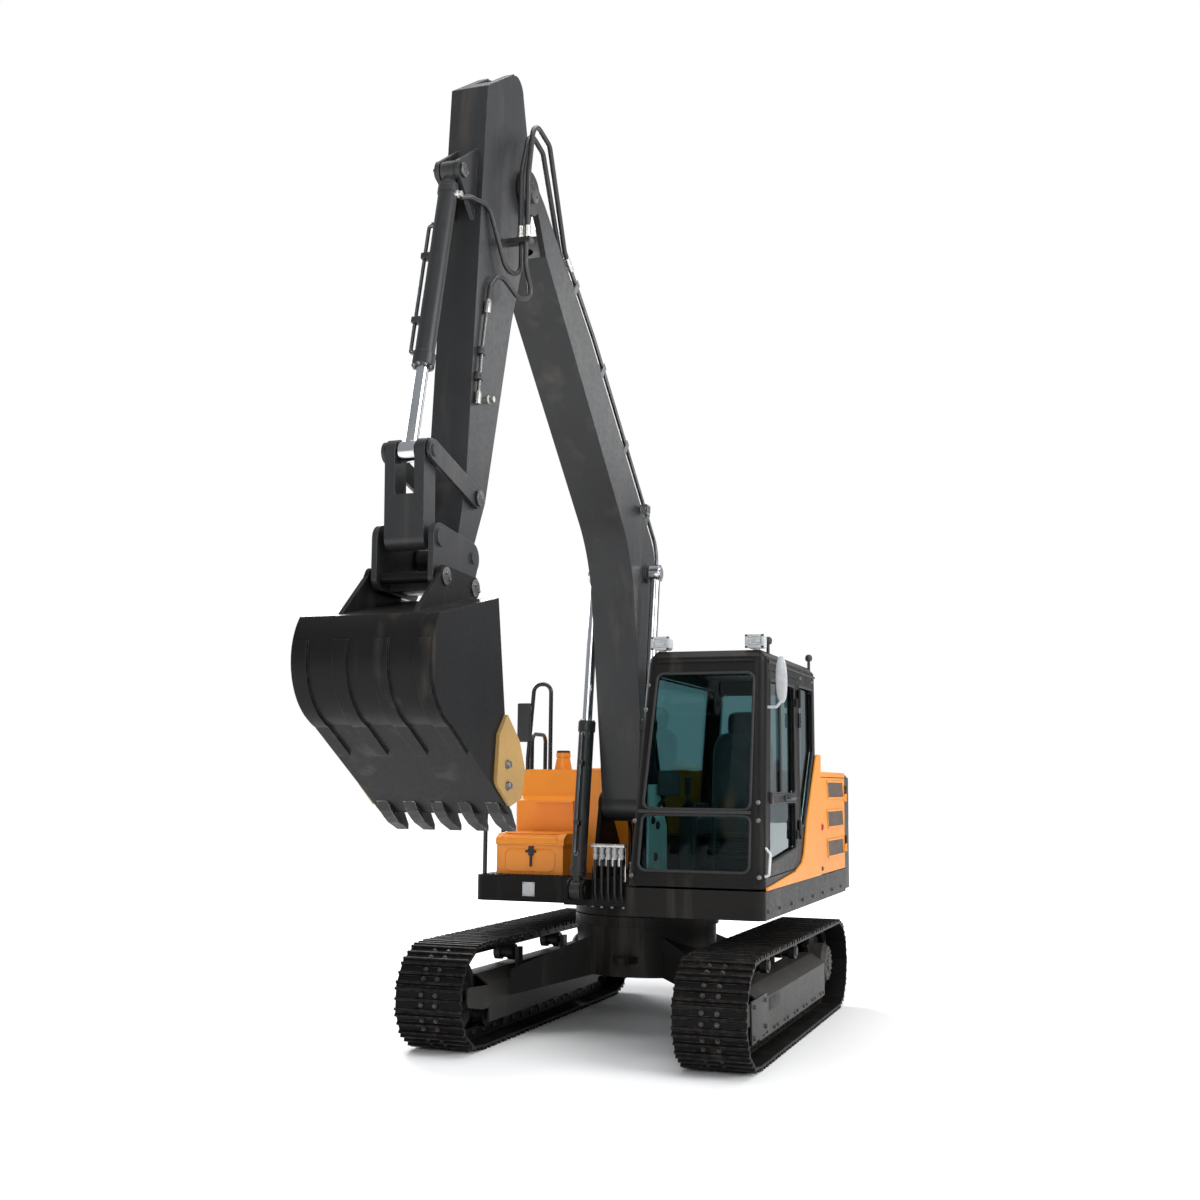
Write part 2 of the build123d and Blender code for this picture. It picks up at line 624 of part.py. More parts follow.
def hinge_leaves(y, reach, lift):
    """Outside hinge barrels with a leaf that reaches along X, above a hinge height by lift."""
    out = y + HINGE_OUT if y > 0 else y - HINGE_OUT
    parts = []
    for z in HINGE_Z:
        parts.append(upright(Pos(HINGE_X, out) * Circle(10), z + lift - 35, z + lift + 35))
        parts.append(block(min(HINGE_X, HINGE_X + reach), max(HINGE_X, HINGE_X + reach),
                           min(y, out), max(y, out),
                           z + lift - 30, z + lift + 30))
    return parts


def make_right_door():
    """Pump side door, hinged at its rear edge."""
    vents = [(DECK_REAR + 160, HOOD_FRONT - 320, z, z + 140) for z in (1330, 1690)]
    door = louvre_panel(HINGE_X, HOOD_FRONT - DOOR_GAP, -HOUSE_HALF, -HOUSE_HALF + PANEL,
                        SIDE_LOW, SIDE_HIGH, vents)
    for piece in hinge_leaves(-HOUSE_HALF, 60, 0):
        door += piece
    return door


def make_fuel_tank():
    """Tank behind the right step with a ledge and a filler cap."""
    rear = HOOD_FRONT + 24 + SEAT
    shape = poly((rear, DECK_TOP), (TANK_FRONT, DECK_TOP), (TANK_FRONT, 1720), (TANK_FRONT - 90, 1760),
                 (TANK_FRONT - 130, HOOD_TOP), (rear, HOOD_TOP))
    tank = slab(shape, TANK_RIGHT, TANK_LEFT)
    edges = tank.edges().filter_by(lambda e: abs(e.center().Y - TANK_RIGHT) < 1
                                   and e.center().Z > DECK_TOP + 5
                                   and e.center().X > rear + 5)
    tank = fillet(edges, 30)
    core = slab(offset(shape, -10), TANK_RIGHT + 10, TANK_LEFT - 10)
    tank -= core
    shelf = TANK_LEFT - 70
    tank += block(TANK_FRONT - 4, TANK_FRONT + 42, shelf - 330, shelf, 1704, 1720)
    gusset = poly((TANK_FRONT - 4, 1480), (TANK_FRONT - 4, 1712), (TANK_FRONT + 42, 1712))
    tank += slab(gusset, shelf - 12, shelf)
    tank -= upright(Pos(*FILLER) * Circle(52), HOOD_TOP - 12, HOOD_TOP)
    return tank


def make_filler():
    """Filler neck and cap of the fuel tank."""
    low, high = HOOD_TOP + SEAT, HOOD_TOP + 105
    neck = loft([Pos(*FILLER, low) * Circle(74), Pos(*FILLER, high) * Circle(54)])
    neck += upright(Pos(*FILLER) * Circle(52 - SEAT), HOOD_TOP - 30, low + 5)
    return neck + upright(Pos(*FILLER) * Circle(60), high - 2, high + 34)


def make_hydraulic_tank():
    """Oil tank beside the boom."""
    rear = HOOD_FRONT + 24 + SEAT
    tank = block(rear, TANK_FRONT - 20, TANK_LEFT + SEAT, HOOD_RIGHT, DECK_TOP, HOOD_TOP + 12)
    tank = fillet(tank.edges().filter_by(lambda e: e.center().Z > HOOD_TOP and e.center().X > rear + 5), 24)
    tank -= block(rear + 10, TANK_FRONT - 30, TANK_LEFT + 10, HOOD_RIGHT - 10, DECK_TOP + 10, HOOD_TOP)
    tank -= upright(Pos(-330, -430) * Circle(40), HOOD_TOP - 2, HOOD_TOP + 12)
    return tank


def make_toolbox():
    """Open box on the right step."""
    box = block(TOOL_REAR, TOOL_FRONT, TANK_RIGHT + 30, TANK_LEFT, DECK_TOP, TOOL_LID - SEAT)
    box -= block(TOOL_REAR + 6, TOOL_FRONT - 6, TANK_RIGHT + 36, TANK_LEFT - 6, DECK_TOP + 6, TOOL_LID)
    return box


def make_toolbox_lid():
    """Rounded lid of the toolbox, hinged at its rear edge."""
    rear = LID_REAR
    shape = poly((rear, TOOL_LID), (TOOL_FRONT + 8, TOOL_LID), (TOOL_FRONT + 8, TOOL_TOP - 40),
                 (TOOL_FRONT - 60, TOOL_TOP), (rear, TOOL_TOP))
    shape = fillet([v for v in shape.vertices() if v.X > TOOL_FRONT - 100 and v.Y > TOOL_LID + 5], 34)
    y0, y1 = TANK_RIGHT + 22, TANK_LEFT + 8
    lid = slab(shape, y0, y1)
    lid -= slab(offset(shape, -6), y0 + 6, y1 - 6)
    lid -= block(rear + 6, TOOL_FRONT + 2, y0 + 6, y1 - 6, TOOL_LID - 1, TOOL_LID + 7)
    for y in (y0 + 110, y1 - 110):
        lid += rod_y((rear, TOOL_TOP), 9, y - 40, y + 40)
    return lid


def cab_plan(z, inset):
    """Rounded plan of the cab at a height, drawn in by inset."""
    f = (z - CAB_FLOOR) / (CAB_ROOF - CAB_FLOOR)
    x0, x1 = CAB_REAR + inset, CAB_FRONT - CAB_FRONT_LEAN * f - inset
    y0, y1 = SLOT_LEFT + CAB_RIGHT_LEAN * f + inset, HOUSE_HALF - CAB_LEFT_LEAN * f - inset
    radius = max(CAB_CORNER - inset, 14)
    face = RectangleRounded(x1 - x0, y1 - y0, radius)
    return Pos((x0 + x1) / 2, (y0 + y1) / 2, z) * face


def cab_body(inset, z0, z1):
    """Tapered cab volume, drawn in by inset."""
    return loft([cab_plan(z0, inset), cab_plan(z1, inset)])


def rounded(radius, *points):
    """Face with straight edges and equal corner rounds."""
    face = poly(*points)
    return fillet(face.vertices(), radius)


def cab_windows(shrink):
    """Window openings of the cab as (name, cutter)."""
    s = shrink
    low, top = CAB_FLOOR, CAB_EAVES
    right, left = SLOT_LEFT, HOUSE_HALF
    rear, front = CAB_REAR + 130, CAB_FRONT
    upper = rounded(60 - s, (right + 104 + s, low + 526 + s), (left - 103 - s, low + 526 + s),
                    (left - 87 - s, top - 75 - s), (right + 188 + s, top - 75 - s))
    lower = rounded(60 - s, (right + 80 + s, low + 104 + s), (left - 105 - s, low + 104 + s),
                    (left - 101 - s, low + 489 - s), (right + 102 + s, low + 489 - s))
    inner = rounded(60 - s, (rear + s, low + 314 + s), (front - 155 - s, low + 314 + s),
                    (front - 235 - s, top - 85 - s), (rear + s, top - 85 - s))
    behind = rounded(60 - s, (right + 150 + s, low + 534 + s), (left - 125 - s, low + 534 + s),
                     (left - 125 - s, top - 115 - s), (right + 200 + s, top - 115 - s))
    quarter = rounded(50 - s, (DOOR_REAR - 75 - s, low + 394 + s), (DOOR_REAR - 75 - s, top - 95 - s),
                      (rear + s, top - 95 - s), (rear + s, low + 974 + s),
                      (DOOR_REAR - 245 + s * 1.4, low + 394 + s))
    return {"upper": along_x(upper, front - 335, front + 165),
            "lower": along_x(lower, front - 335, front + 165),
            "inner": slab(inner, right - 70, right + 250),
            "behind": along_x(behind, CAB_REAR - 140, CAB_REAR + 160),
            "quarter": slab(quarter, left - 145, left + 55)}


def door_face(grow):
    """Outline of the cab door in (x, z), larger by grow."""
    g = grow
    low, top = CAB_FLOOR, CAB_EAVES - 55
    return rounded(40, (DOOR_REAR - g, low + 164 - g), (DOOR_REAR + 130 - g, low + 90 - g),
                   (DOOR_FRONT + g, low + 74 - g),
                   (DOOR_FRONT - 100 + g, top + g), (DOOR_REAR - g, top + g))


def door_slab(face):
    """Sweep a face drawn in (x, z) through the left wall of the cab."""
    return slab(face, HOUSE_HALF - 145, HOUSE_HALF + 55)


def door_windows(shrink):
    """Upper and lower pane openings of the cab door."""
    s = shrink
    rear, front = DOOR_REAR + 62, DOOR_FRONT
    low, top = CAB_FLOOR, CAB_EAVES - 115
    upper = rounded(50 - s, (rear + s, low + 634 + s), (front - 102 - s, low + 634 + s),
                    (front - 158 - s, top - s), (rear + s, top - s))
    lower = rounded(50 - s, (rear + s, low + 234 + s), (front - 76 - s, low + 154 + s),
                    (front - 98 - s, low + 578 - s), (rear + s, low + 578 - s))
    return [door_slab(upper), door_slab(lower)]


def make_cab():
    """Cab panels, panes and door, cut from one tapered shell."""
    inner_floor = CAB_FLOOR + 50
    shell = cab_body(0, CAB_FLOOR, CAB_EAVES)
    shell -= cab_body(CAB_WALL, inner_floor, CAB_EAVES)
    windows = cab_windows(0)
    for cutter in windows.values():
        shell -= cutter
    skin = cab_body(0, inner_floor, CAB_EAVES) - cab_body(CAB_WALL, inner_floor, CAB_EAVES)
    door = skin & door_slab(door_face(0))
    for pane in door_windows(0):
        door -= pane
    shell -= door_slab(door_face(DOOR_GAP))
    rise = CAB_ROOF - CAB_FLOOR
    floor = split(shell, Plane(origin=(0, 0, inner_floor), z_dir=(0, 0, 1)), keep=Keep.BOTTOM)
    walls = split(shell, Plane(origin=(0, 0, inner_floor), z_dir=(0, 0, 1)), keep=Keep.TOP)
    front_plane = Plane(origin=(CAB_FRONT - CAB_WALL, 0, CAB_FLOOR), z_dir=(rise, 0, CAB_FRONT_LEAN))
    front = split(walls, front_plane, keep=Keep.TOP)
    walls = split(walls, front_plane, keep=Keep.BOTTOM)
    rear_plane = Plane(origin=(CAB_REAR + CAB_WALL, 0, 0), z_dir=(-1, 0, 0))
    rear = split(walls, rear_plane, keep=Keep.TOP)
    walls = split(walls, rear_plane, keep=Keep.BOTTOM)
    middle = Plane(origin=(0, CAB_MID, 0), z_dir=(0, 1, 0))
    left = split(walls, middle, keep=Keep.TOP)
    right = split(walls, middle, keep=Keep.BOTTOM)
    roof = loft([cab_plan(CAB_EAVES, 0), cab_plan(CAB_EAVES + 40, 4), cab_plan(CAB_ROOF, 46)], ruled=True)
    roof -= loft([cab_plan(CAB_EAVES, CAB_WALL), cab_plan(CAB_ROOF - 30, CAB_WALL + 30)])
    centre = Pos((CAB_FRONT + CAB_REAR) / 2 + 60, CAB_MID + CAB_RIGHT_LEAN / 2)
    roof -= upright(centre * RectangleRounded(HATCH[0], HATCH[1], 60), CAB_EAVES, CAB_ROOF + 10)
    mid = (CAB_WALL - GLASS) / 2
    layer = cab_body(mid, inner_floor, CAB_EAVES) - cab_body(mid + GLASS, inner_floor, CAB_EAVES)
    panes = [layer & cutter for cutter in cab_windows(SEAT).values()]
    cover = centre * RectangleRounded(HATCH[0] - 2 * SEAT, HATCH[1] - 2 * SEAT, 60 - SEAT)
    panes.append(upright(cover, CAB_ROOF - 22, CAB_ROOF - 22 + GLASS))
    door_panes = [layer & pane for pane in door_windows(SEAT)]
    hull = cab_body(0, CAB_FLOOR, CAB_EAVES)
    for z in (CAB_FLOOR + 334, CAB_EAVES - 235):
        for lift, reach in ((0, 80), (70 + SEAT, -80)):
            x = DOOR_REAR - 6
            pin = upright(Pos(x, HOUSE_HALF + 14) * Circle(12), z + lift - 35, z + lift + 35)
            leaf = block(min(x, x + reach), max(x, x + reach), HOUSE_HALF - 20, HOUSE_HALF + 12,
                         z + lift - 30, z + lift + 30)
            knuckle = pin + (leaf - hull)
            if reach > 0:
                door += knuckle
            else:
                left += knuckle
    return {"cab_floor": floor, "cab_front": front, "cab_rear_wall": rear, "cab_left_wall": left,
            "cab_right_wall": right, "cab_roof": roof, "cab_glass": Compound(children=panes),
            "cab_door": door, "door_glass": Compound(children=door_panes)}


def make_cab_mounts():
    """Rubber pads between deck and cab floor."""
    pads = [upright(Pos(x, y) * Circle(60), DECK_TOP, CAB_FLOOR) 
            for x in (CAB_REAR + 160, CAB_FRONT - 155) for y in (SLOT_LEFT + 150, HOUSE_HALF - 155)]
    return Compound(children=pads)


def make_seat():
    """Operator's seat on its base."""
    low, y, half = CAB_FLOOR + 50, CAB_MID, SEAT_HALF
    base = block(60, 420, y - half / 2, y + half / 2, low, low + 280)
    cushion = block(10, 520, y - half, y + half, low + 280, low + 400)
    cushion = fillet(cushion.edges().filter_by(lambda e: e.center().Z > low + 290), 30)
    side = poly((-60, low + 350), (60, low + 350), (-20, low + 1030), (-120, low + 1030))
    back = fillet(slab(side, y - half + 20, y + half - 20).edges(), 24)
    head = slab(poly((-122, low + 1010), (-22, low + 1010), (-40, low + 1210), (-120, low + 1210)),
                y - half / 2, y + half / 2)
    return base + cushion + back + fillet(head.edges(), 24)


def make_controls():
    """Arm consoles with joysticks, and the travel levers."""
    pieces = []
    floor = CAB_FLOOR + 50
    for y in (SLOT_LEFT + 192, HOUSE_HALF - 167):
        box = block(-60, 520, y - 46, y + 46, floor, floor + 480)
        box += upright(Pos(460, y) * Circle(16), floor + 470, floor + 640)
        box += upright(Pos(460, y) * Circle(26), floor + 600, floor + 700)
        pieces.append(box)
    for y in (CAB_MID - 70, CAB_MID + 70):
        x = CAB_FRONT - 255
        lever = block(x - 50, x + 50, y - 40, y + 40, floor, floor + 30)
        lever += upright(Pos(x, y) * Circle(13), floor + 20, floor + 520)
        pieces.append(lever)
    return Compound(children=pieces)


def tube(points, bend, radius):
    """Round bar along straight runs with equal bends."""
    path = FilletPolyline(*points, radius=bend)
    start = Plane(origin=path @ 0, z_dir=path % 0)
    return sweep(start * Circle(radius), path=path)


def hoop(start, end, foot, top, shoulder=0):
    """Hoop rail on two feet, given as (x, y); its first leg leans in by shoulder."""
    points = [(*start, foot), (start[0], start[1] + shoulder, top), (*end, top), (*end, foot)]
    if shoulder:
        points.insert(1, (*start, foot + 90))
    return tube(points, 70, RAIL_RADIUS)


def make_handrails():
    """Hoop rails over the tank and along the right step."""
    tank = HOOD_TOP + SEAT
    step = DECK_TOP + SEAT
    edge = TANK_RIGHT - 40
    hoops = [hoop((RAIL_X, RAIL_Y), (RAIL_X, RAIL_Y + 200), tank, RAIL_TOP, 50),
             hoop((RAIL_X - 390, RAIL_Y), (RAIL_X - 90, RAIL_Y), tank, LOW_RAIL_TOP),
             hoop((TOOL_FRONT + 70, edge), (TOOL_FRONT - 280, edge), step, STEP_RAIL_TOP)]
    return Compound(children=hoops)


def make_lamps():
    """Work lamps on the front corners of the cab roof."""
    pieces = []
    for y in (SLOT_LEFT + CAB_RIGHT_LEAN + 75, HOUSE_HALF - CAB_LEFT_LEAN - 85):
        x = CAB_FRONT - CAB_FRONT_LEAN - 95
        lamp = block(x - 40, x + 60, y - 65, y + 65, CAB_ROOF + 16, CAB_ROOF + 106)
        lamp = fillet(lamp.edges().filter_by(Axis.X), 20)
        lamp += block(x - 30, x + 30, y - 20, y + 20, CAB_ROOF + SEAT, CAB_ROOF + 20)
        pieces.append(lamp)
    return Compound(children=pieces)


def make_mirrors():
    """Left mirror on the cab pillar and right mirror on the rail."""
    x, y, z = CAB_FRONT - 175, HOUSE_HALF, CAB_EAVES - 315
    left = tube([(x, y - 7, z), (x, y + 80, z), (x, y + 80, z + 180)], 30, 9)
    left += slab(Pos(x - 5, z + 190) * Ellipse(22, 165), y + 45, y + 135)
    x, y, z = RAIL_X + RAIL_RADIUS + 12, RAIL_Y + 20, RAIL_TOP - 480
    right = block(x, x + 34, y - 95, y + 15, z, z + 320)
    right = fillet(right.edges().filter_by(Axis.X), 30)
    grip = block(RAIL_X + RAIL_RADIUS + SEAT, x + 4, y - 30, y, z + 100, z + 130)
    return Compound(children=[left, right + grip])


def make_exhaust():
    """Stack on the fixed roof plate over the pump bay."""
    route = [(-1300, -800, HOOD_TOP + SEAT), (-1300, -800, HOOD_TOP + 330), (-1440, -800, HOOD_TOP + 400)]
    path = tube(route, 80, 48)
    return path


def boom_face():
    """Side view of the boom."""
    o, t = BOOM_FOOT, STICK_PIVOT
    face = poly((o[0] + 112, o[1] + 35), BOOM_BELLY, (2620, 5253), (2760, 5480), (2840, 5690), *BOOM_RIM,
                (o[0] - 112, o[1] + 35))
    belly = face.vertices().sort_by_distance((BOOM_BELLY[0], BOOM_BELLY[1], 0))[0]
    face = fillet(belly, 1000)
    crown = face.vertices().sort_by_distance((*BOOM_RIM[2], 0))[0]
    face = fillet(crown, 190)
    waist = face.vertices().sort_by_distance((*BOOM_RIM[3], 0))[0]
    face = fillet(waist, 1500)
    crest = face.vertices().sort_by_distance((*BOOM_RIM[1], 0))[0]
    face = fillet(crest, 1500)
    return face


def make_boom():
    """Hollow welded boom with a fork at its tip."""
    y = BOOM_PLANE
    o, t = BOOM_FOOT, STICK_PIVOT
    side = boom_face()
    whole = side + disc(o, 122) + disc(t, 140)
    boom = slab(whole, y - BOOM_HALF, y + BOOM_HALF)
    inside = offset(side, -BOOM_EDGE_PLATE)
    room = inside - disc(t, FORK_DEPTH + 22) - disc(o, 140) - disc(BOOM_ROD_PIN, 80)
    half = BOOM_HALF - BOOM_SIDE_PLATE
    boom -= slab(room, y - half, y + half)
    boom -= slab(disc(t, FORK_DEPTH), y - FORK_HALF, y + FORK_HALF)
    f = STICK_CYL_FOOT
    lug = poly((f[0] - 190, f[1] - 345), (f[0] + 200, f[1] - 52), (f[0] + 64, f[1] - 34),
               (f[0] - 60, f[1] + 40))
    lug += disc(STICK_CYL_FOOT, 72)
    lug -= offset(side, -2)
    for a in (-1, 1):
        ends = sorted((y + a * 52, y + a * 80))
        boom += slab(lug, ends[0], ends[1])
        pad = sorted((y + a * (BOOM_HALF - 4), y + a * (BOOM_HALF + 18)))
        boom += rod_y(BOOM_ROD_PIN, 76, pad[0], pad[1])
    boom -= rod_y(STICK_CYL_FOOT, 35 + PIN_GAP, y - 90, y + 90)
    boom -= rod_y(o, 40 + PIN_GAP, y - BOOM_HALF, y + BOOM_HALF)
    boom -= rod_y(t, 45 + PIN_GAP, y - BOOM_HALF, y + BOOM_HALF)
    back = (t[0] - 0.774 * FORK_DEPTH, t[1] - 0.633 * FORK_DEPTH)
    hole = Plane(origin=(back[0], y, back[1]), z_dir=(-0.774, 0, -0.633)) * Cylinder(50, 80)
    return boom - hole


def make_boom_pins():
    """Stick pivot pin and the pin under the stick cylinder."""
    y = BOOM_PLANE
    pivot = rod_y(STICK_PIVOT, 45, y - BOOM_HALF - 5, y + BOOM_HALF + 5)
    for a in (-1, 1):
        cap = sorted((y + a * (BOOM_HALF + SEAT), y + a * (BOOM_HALF + 16)))
        pivot += rod_y(STICK_PIVOT, 66, cap[0], cap[1])
    foot = rod_y(STICK_CYL_FOOT, 35, y - 88, y + 88)
    return Compound(children=[pivot, foot])


def heading(p, q):
    """Unit vector from p to q, and the one to the outside of the boom's rear edge."""
    d = hypot(q[0] - p[0], q[1] - p[1])
    u = ((q[0] - p[0]) / d, (q[1] - p[1]) / d)
    return u, (u[1], -u[0])


def rim_point(index, share, rise):
    """Point off a straight run of the boom's rear edge, at a share of the run's length."""
    rim = (*BOOM_RIM, (BOOM_FOOT[0] - 112, BOOM_FOOT[1] + 35))
    p, q = rim[index], rim[index + 1]
    _, n = heading(p, q)
    return (p[0] + (q[0] - p[0]) * share + n[0] * rise, p[1] + (q[1] - p[1]) * share + n[1] * rise)


def pipe_route():
    """Line of a boom pipe in (x, z), at one height over the boom's rear edge."""
    points = [rim_point(0, PIPE_TOP_SHARE, PIPE_RISE)]
    for index in range(3):
        p, q = rim_point(index, 0, PIPE_RISE), rim_point(index, 1, PIPE_RISE)
        a, b = rim_point(index + 1, 0, PIPE_RISE), rim_point(index + 1, 1, PIPE_RISE)
        u, _ = heading(p, q)
        v, _ = heading(a, b)
        t = ((a[0] - p[0]) * v[1] - (a[1] - p[1]) * v[0]) / (u[0] * v[1] - u[1] * v[0])
        points.append((p[0] + u[0] * t, p[1] + u[1] * t))
    share = (BOOM_RIM[3][1] - PIPE_LOW) / (BOOM_RIM[3][1] - BOOM_FOOT[1] - 35)
    points.append(rim_point(3, share, PIPE_RISE))
    return points


def make_boom_fittings():
    """Oil pipes on clamps along the boom's rear edge, and a lamp on its left side."""
    route = pipe_route()
    pieces = []
    for side in (-1, 1):
        lanes = [BOOM_PLANE + side * lane for lane in PIPE_LANES]
        run = tube([(x, lanes[0], z) for x, z in route], PIPE_BEND, PIPE_RADIUS)
        run += tube([(x, lanes[1], z) for x, z in route], PIPE_BEND, PIPE_RADIUS)
        for index, share in ((0, 0.60), (1, 0.12), (1, 0.48), (1, 0.84), (2, 0.5), (3, 0.3)):
            rim = (*BOOM_RIM, (BOOM_FOOT[0] - 112, BOOM_FOOT[1] + 35))
            u, _ = heading(rim[index], rim[index + 1])
            foot, top = rim_point(index, share, 0.6), rim_point(index, share, PIPE_RISE + CLAMP_HALF)
            post = poly((foot[0] - u[0] * CLAMP_HALF, foot[1] - u[1] * CLAMP_HALF),
                        (foot[0] + u[0] * CLAMP_HALF, foot[1] + u[1] * CLAMP_HALF),
                        (top[0] + u[0] * CLAMP_HALF, top[1] + u[1] * CLAMP_HALF),
                        (top[0] - u[0] * CLAMP_HALF, top[1] - u[1] * CLAMP_HALF))
            run += slab(post, min(lanes) - PIPE_RADIUS - 3, max(lanes) + PIPE_RADIUS + 3)
        pieces.append(run)
    y = BOOM_PLANE + BOOM_HALF
    x, z = LAMP_PLACE
    lamp = block(x - 12, x + 60, y + 14, y + 74, z - 36, z + 36)
    lamp = fillet(lamp.edges().filter_by(Axis.X), 14)
    lamp += block(x - 10, x + 30, y + SEAT, y + 20, z - 20, z + 20)
    pieces.append(lamp)
    return Compound(children=pieces)


def make_boom_hoses():
    """Hoses from the lower ends of the boom pipes to the deck."""
    end = pipe_route()[-1]
    hoses = []
    for side in (-1, 1):
        for lane in PIPE_LANES:
            y = BOOM_PLANE + side * lane
            points = [(end[0], y, end[1] - SEAT), (end[0] - 14, y, end[1] - 140), (20, y, 1880),
                      (-170, y, 1500), (-170, y, DECK_TOP + SEAT)]
            hoses.append(tube(points, 160, HOSE_RADIUS))
    return Compound(children=hoses)


def make_stick_hoses():
    """Hoses from the upper ends of the boom pipes, over the pivot, to a block on the stick."""
    route = pipe_route()
    u, _ = heading(route[1], route[0])
    start = (route[0][0] + u[0] * SEAT, route[0][1] + u[1] * SEAT)
    lead = (start[0] + u[0] * 130, start[1] + u[1] * 130)
    hoses = []
    for side in (-1, 1):
        for lane, far, lift in zip(PIPE_LANES, HOSE_LANES, (0, 45)):
            a, b = BOOM_PLANE + side * lane, BOOM_PLANE + side * far
            x, z = HOSE_BLOCK
            points = [(start[0], a, start[1]), (lead[0], a, lead[1]), (2790, b, 5880 + lift),
                      (3010 + lift, b, 5930 + lift), (x, b, 5600), (x, b, z + 40 + SEAT)]
            hoses.append(tube(points, 110, HOSE_RADIUS))
    return Compound(children=hoses)


def stick_face():
    """Side view of the stick."""
    b = BUCKET_PIVOT
    return poly((3085, 6290), (3470, 6030), (3655, 3560), (b[0] + 88, b[1] + 30), (b[0] - 88, b[1] - 20),
                (3390, 3480), (3050, 4680), (2755, 5480), (2745, 5640), (2925, 6225))


def make_stick():
    """Hollow welded stick with tail ears and lugs for the bucket cylinder."""
    y = BOOM_PLANE
    t, k, b, f = STICK_PIVOT, STICK_TAIL, BUCKET_PIVOT, BUCKET_CYL_FOOT
    side = stick_face()
    tall = fillet(side.vertices().sort_by_distance((3050, 4680, 0))[0], 1500)
    whole = tall + disc(t, 138) + disc(k, 100) + disc(b, 94)
    stick = slab(whole, y - STICK_HALF, y + STICK_HALF)
    room = offset(tall, -13) - disc(t, 100) - disc(b, 180) - disc(ROCKER_PIVOT, 75)
    half = STICK_HALF - STICK_PLATE
    stick -= slab(room, y - half, y + half)
    stick -= slab(disc(k, TAIL_SLOT_REACH), y - TAIL_SLOT, y + TAIL_SLOT)
    lug = poly((f[0] - 225, f[1] + 240), (f[0] + 20, f[1] + 66), (f[0] + 66, f[1] - 20),
               (f[0] - 190, f[1] - 260))
    lug += disc(f, 68)
    lug -= offset(tall, -2)
    for a in (-1, 1):
        ends = sorted((y + a * 50, y + a * 76))
        stick += slab(lug, ends[0], ends[1])
        boss = sorted((y + a * (STICK_HALF - 4), y + a * (STICK_HALF + 26)))
        stick += rod_y(b, 58, boss[0], boss[1])
        shelf = sorted((y + a * (STICK_HALF - 4), y + a * (HOSE_LANES[1] + 30)))
        hx, hz = HOSE_BLOCK
        stick += block(hx - 34, hx + 34, shelf[0], shelf[1], hz + 10, hz + 40)
    stick -= rod_y(f, 35 + PIN_GAP, y - 90, y + 90)
    stick -= rod_y(t, 45 + PIN_GAP, y - STICK_HALF, y + STICK_HALF)
    stick -= rod_y(b, 35 + PIN_GAP, y - 160, y + 160)
    stick -= rod_y(ROCKER_PIVOT, 35 + PIN_GAP, y - STICK_HALF, y + STICK_HALF)
    return stick


def make_stick_pins():
    """Pin under the bucket cylinder."""
    return rod_y(BUCKET_CYL_FOOT, 35, BOOM_PLANE - 84, BOOM_PLANE + 84)


def along(p, q, y, radius, start, end):
    """Round bar on the line from p to q in the (x, z) plane at y, between two distances."""
    d = hypot(q[0] - p[0], q[1] - p[1])
    ux, uz = (q[0] - p[0]) / d, (q[1] - p[1]) / d
    plane = Plane(origin=(p[0] + ux * start, y, p[1] + uz * start), x_dir=(0, 1, 0), z_dir=(ux, 0, uz))
    return plane * Cylinder(radius, end - start, align=(Align.CENTER, Align.CENTER, Align.MIN))


def make_barrel(p, q, y, radius, bore, rod, gland, eye, eye_half, pin):
    """Hydraulic barrel from its foot eye to its gland."""
    shell = along(p, q, y, radius, eye + 28, gland - 60) - along(p, q, y, bore, eye + 52, gland - 60)
    shell += along(p, q, y, eye_half - 5, 0, eye + 30)
    head = along(p, q, y, radius + HEAD_STEP, gland - 75, gland)
    head -= along(p, q, y, rod + SEAT, gland - 80, gland + 1)
    collar = along(p, q, y, radius + HEAD_STEP - 2, eye + 60, eye + 96)
    collar -= along(p, q, y, bore, eye + 50, eye + 100)
    body = shell + head + collar + rod_y(p, eye, y - eye_half, y + eye_half)
    return body - rod_y(p, pin + PIN_GAP, y - eye_half - 1, y + eye_half + 1)


def make_rod(p, q, y, rod, length, eye, eye_half):
    """Piston rod with its eye at q."""
    d = hypot(q[0] - p[0], q[1] - p[1])
    return along(p, q, y, rod, d - length, d - eye * 0.5) + rod_y(q, eye, y - eye_half, y + eye_half)


def make_cylinders():
    """The four cylinders as barrels and rods."""
    y = BOOM_PLANE
    barrels, rods = [], []
    for a in (-1, 1):
        yc = y + a * BOOM_CYL_OFFSET
        barrels.append(make_barrel(BOOM_CYL_FOOT, BOOM_ROD_PIN, yc, 58, 50, 37, 1262, 70, BOOM_EYE_HALF, 35))
        rod = make_rod(BOOM_CYL_FOOT, BOOM_ROD_PIN, yc, 37, 1400, 66, 38)
        cap = sorted((yc + a * 36, yc + a * 48))
        rods.append(rod + rod_y(BOOM_ROD_PIN, 46, cap[0], cap[1]))
    return {"boom_cylinder_barrels": Compound(children=barrels),
            "boom_cylinder_rods": Compound(children=rods),
            "stick_cylinder_barrel": make_barrel(STICK_CYL_FOOT, STICK_TAIL, y, 66, 55, 40, 1600, 66, 46, 35),
            "stick_cylinder_rod": make_rod(STICK_CYL_FOOT, STICK_TAIL, y, 40, 1400, 62, 48),
            "bucket_cylinder_barrel": make_barrel(BUCKET_CYL_FOOT, LINK_TOP, y, 56, 46, 35, 1290, 62, 44, 35),
            "bucket_cylinder_rod": make_rod(BUCKET_CYL_FOOT, LINK_TOP, y, 35, 1275, 58, 48)}


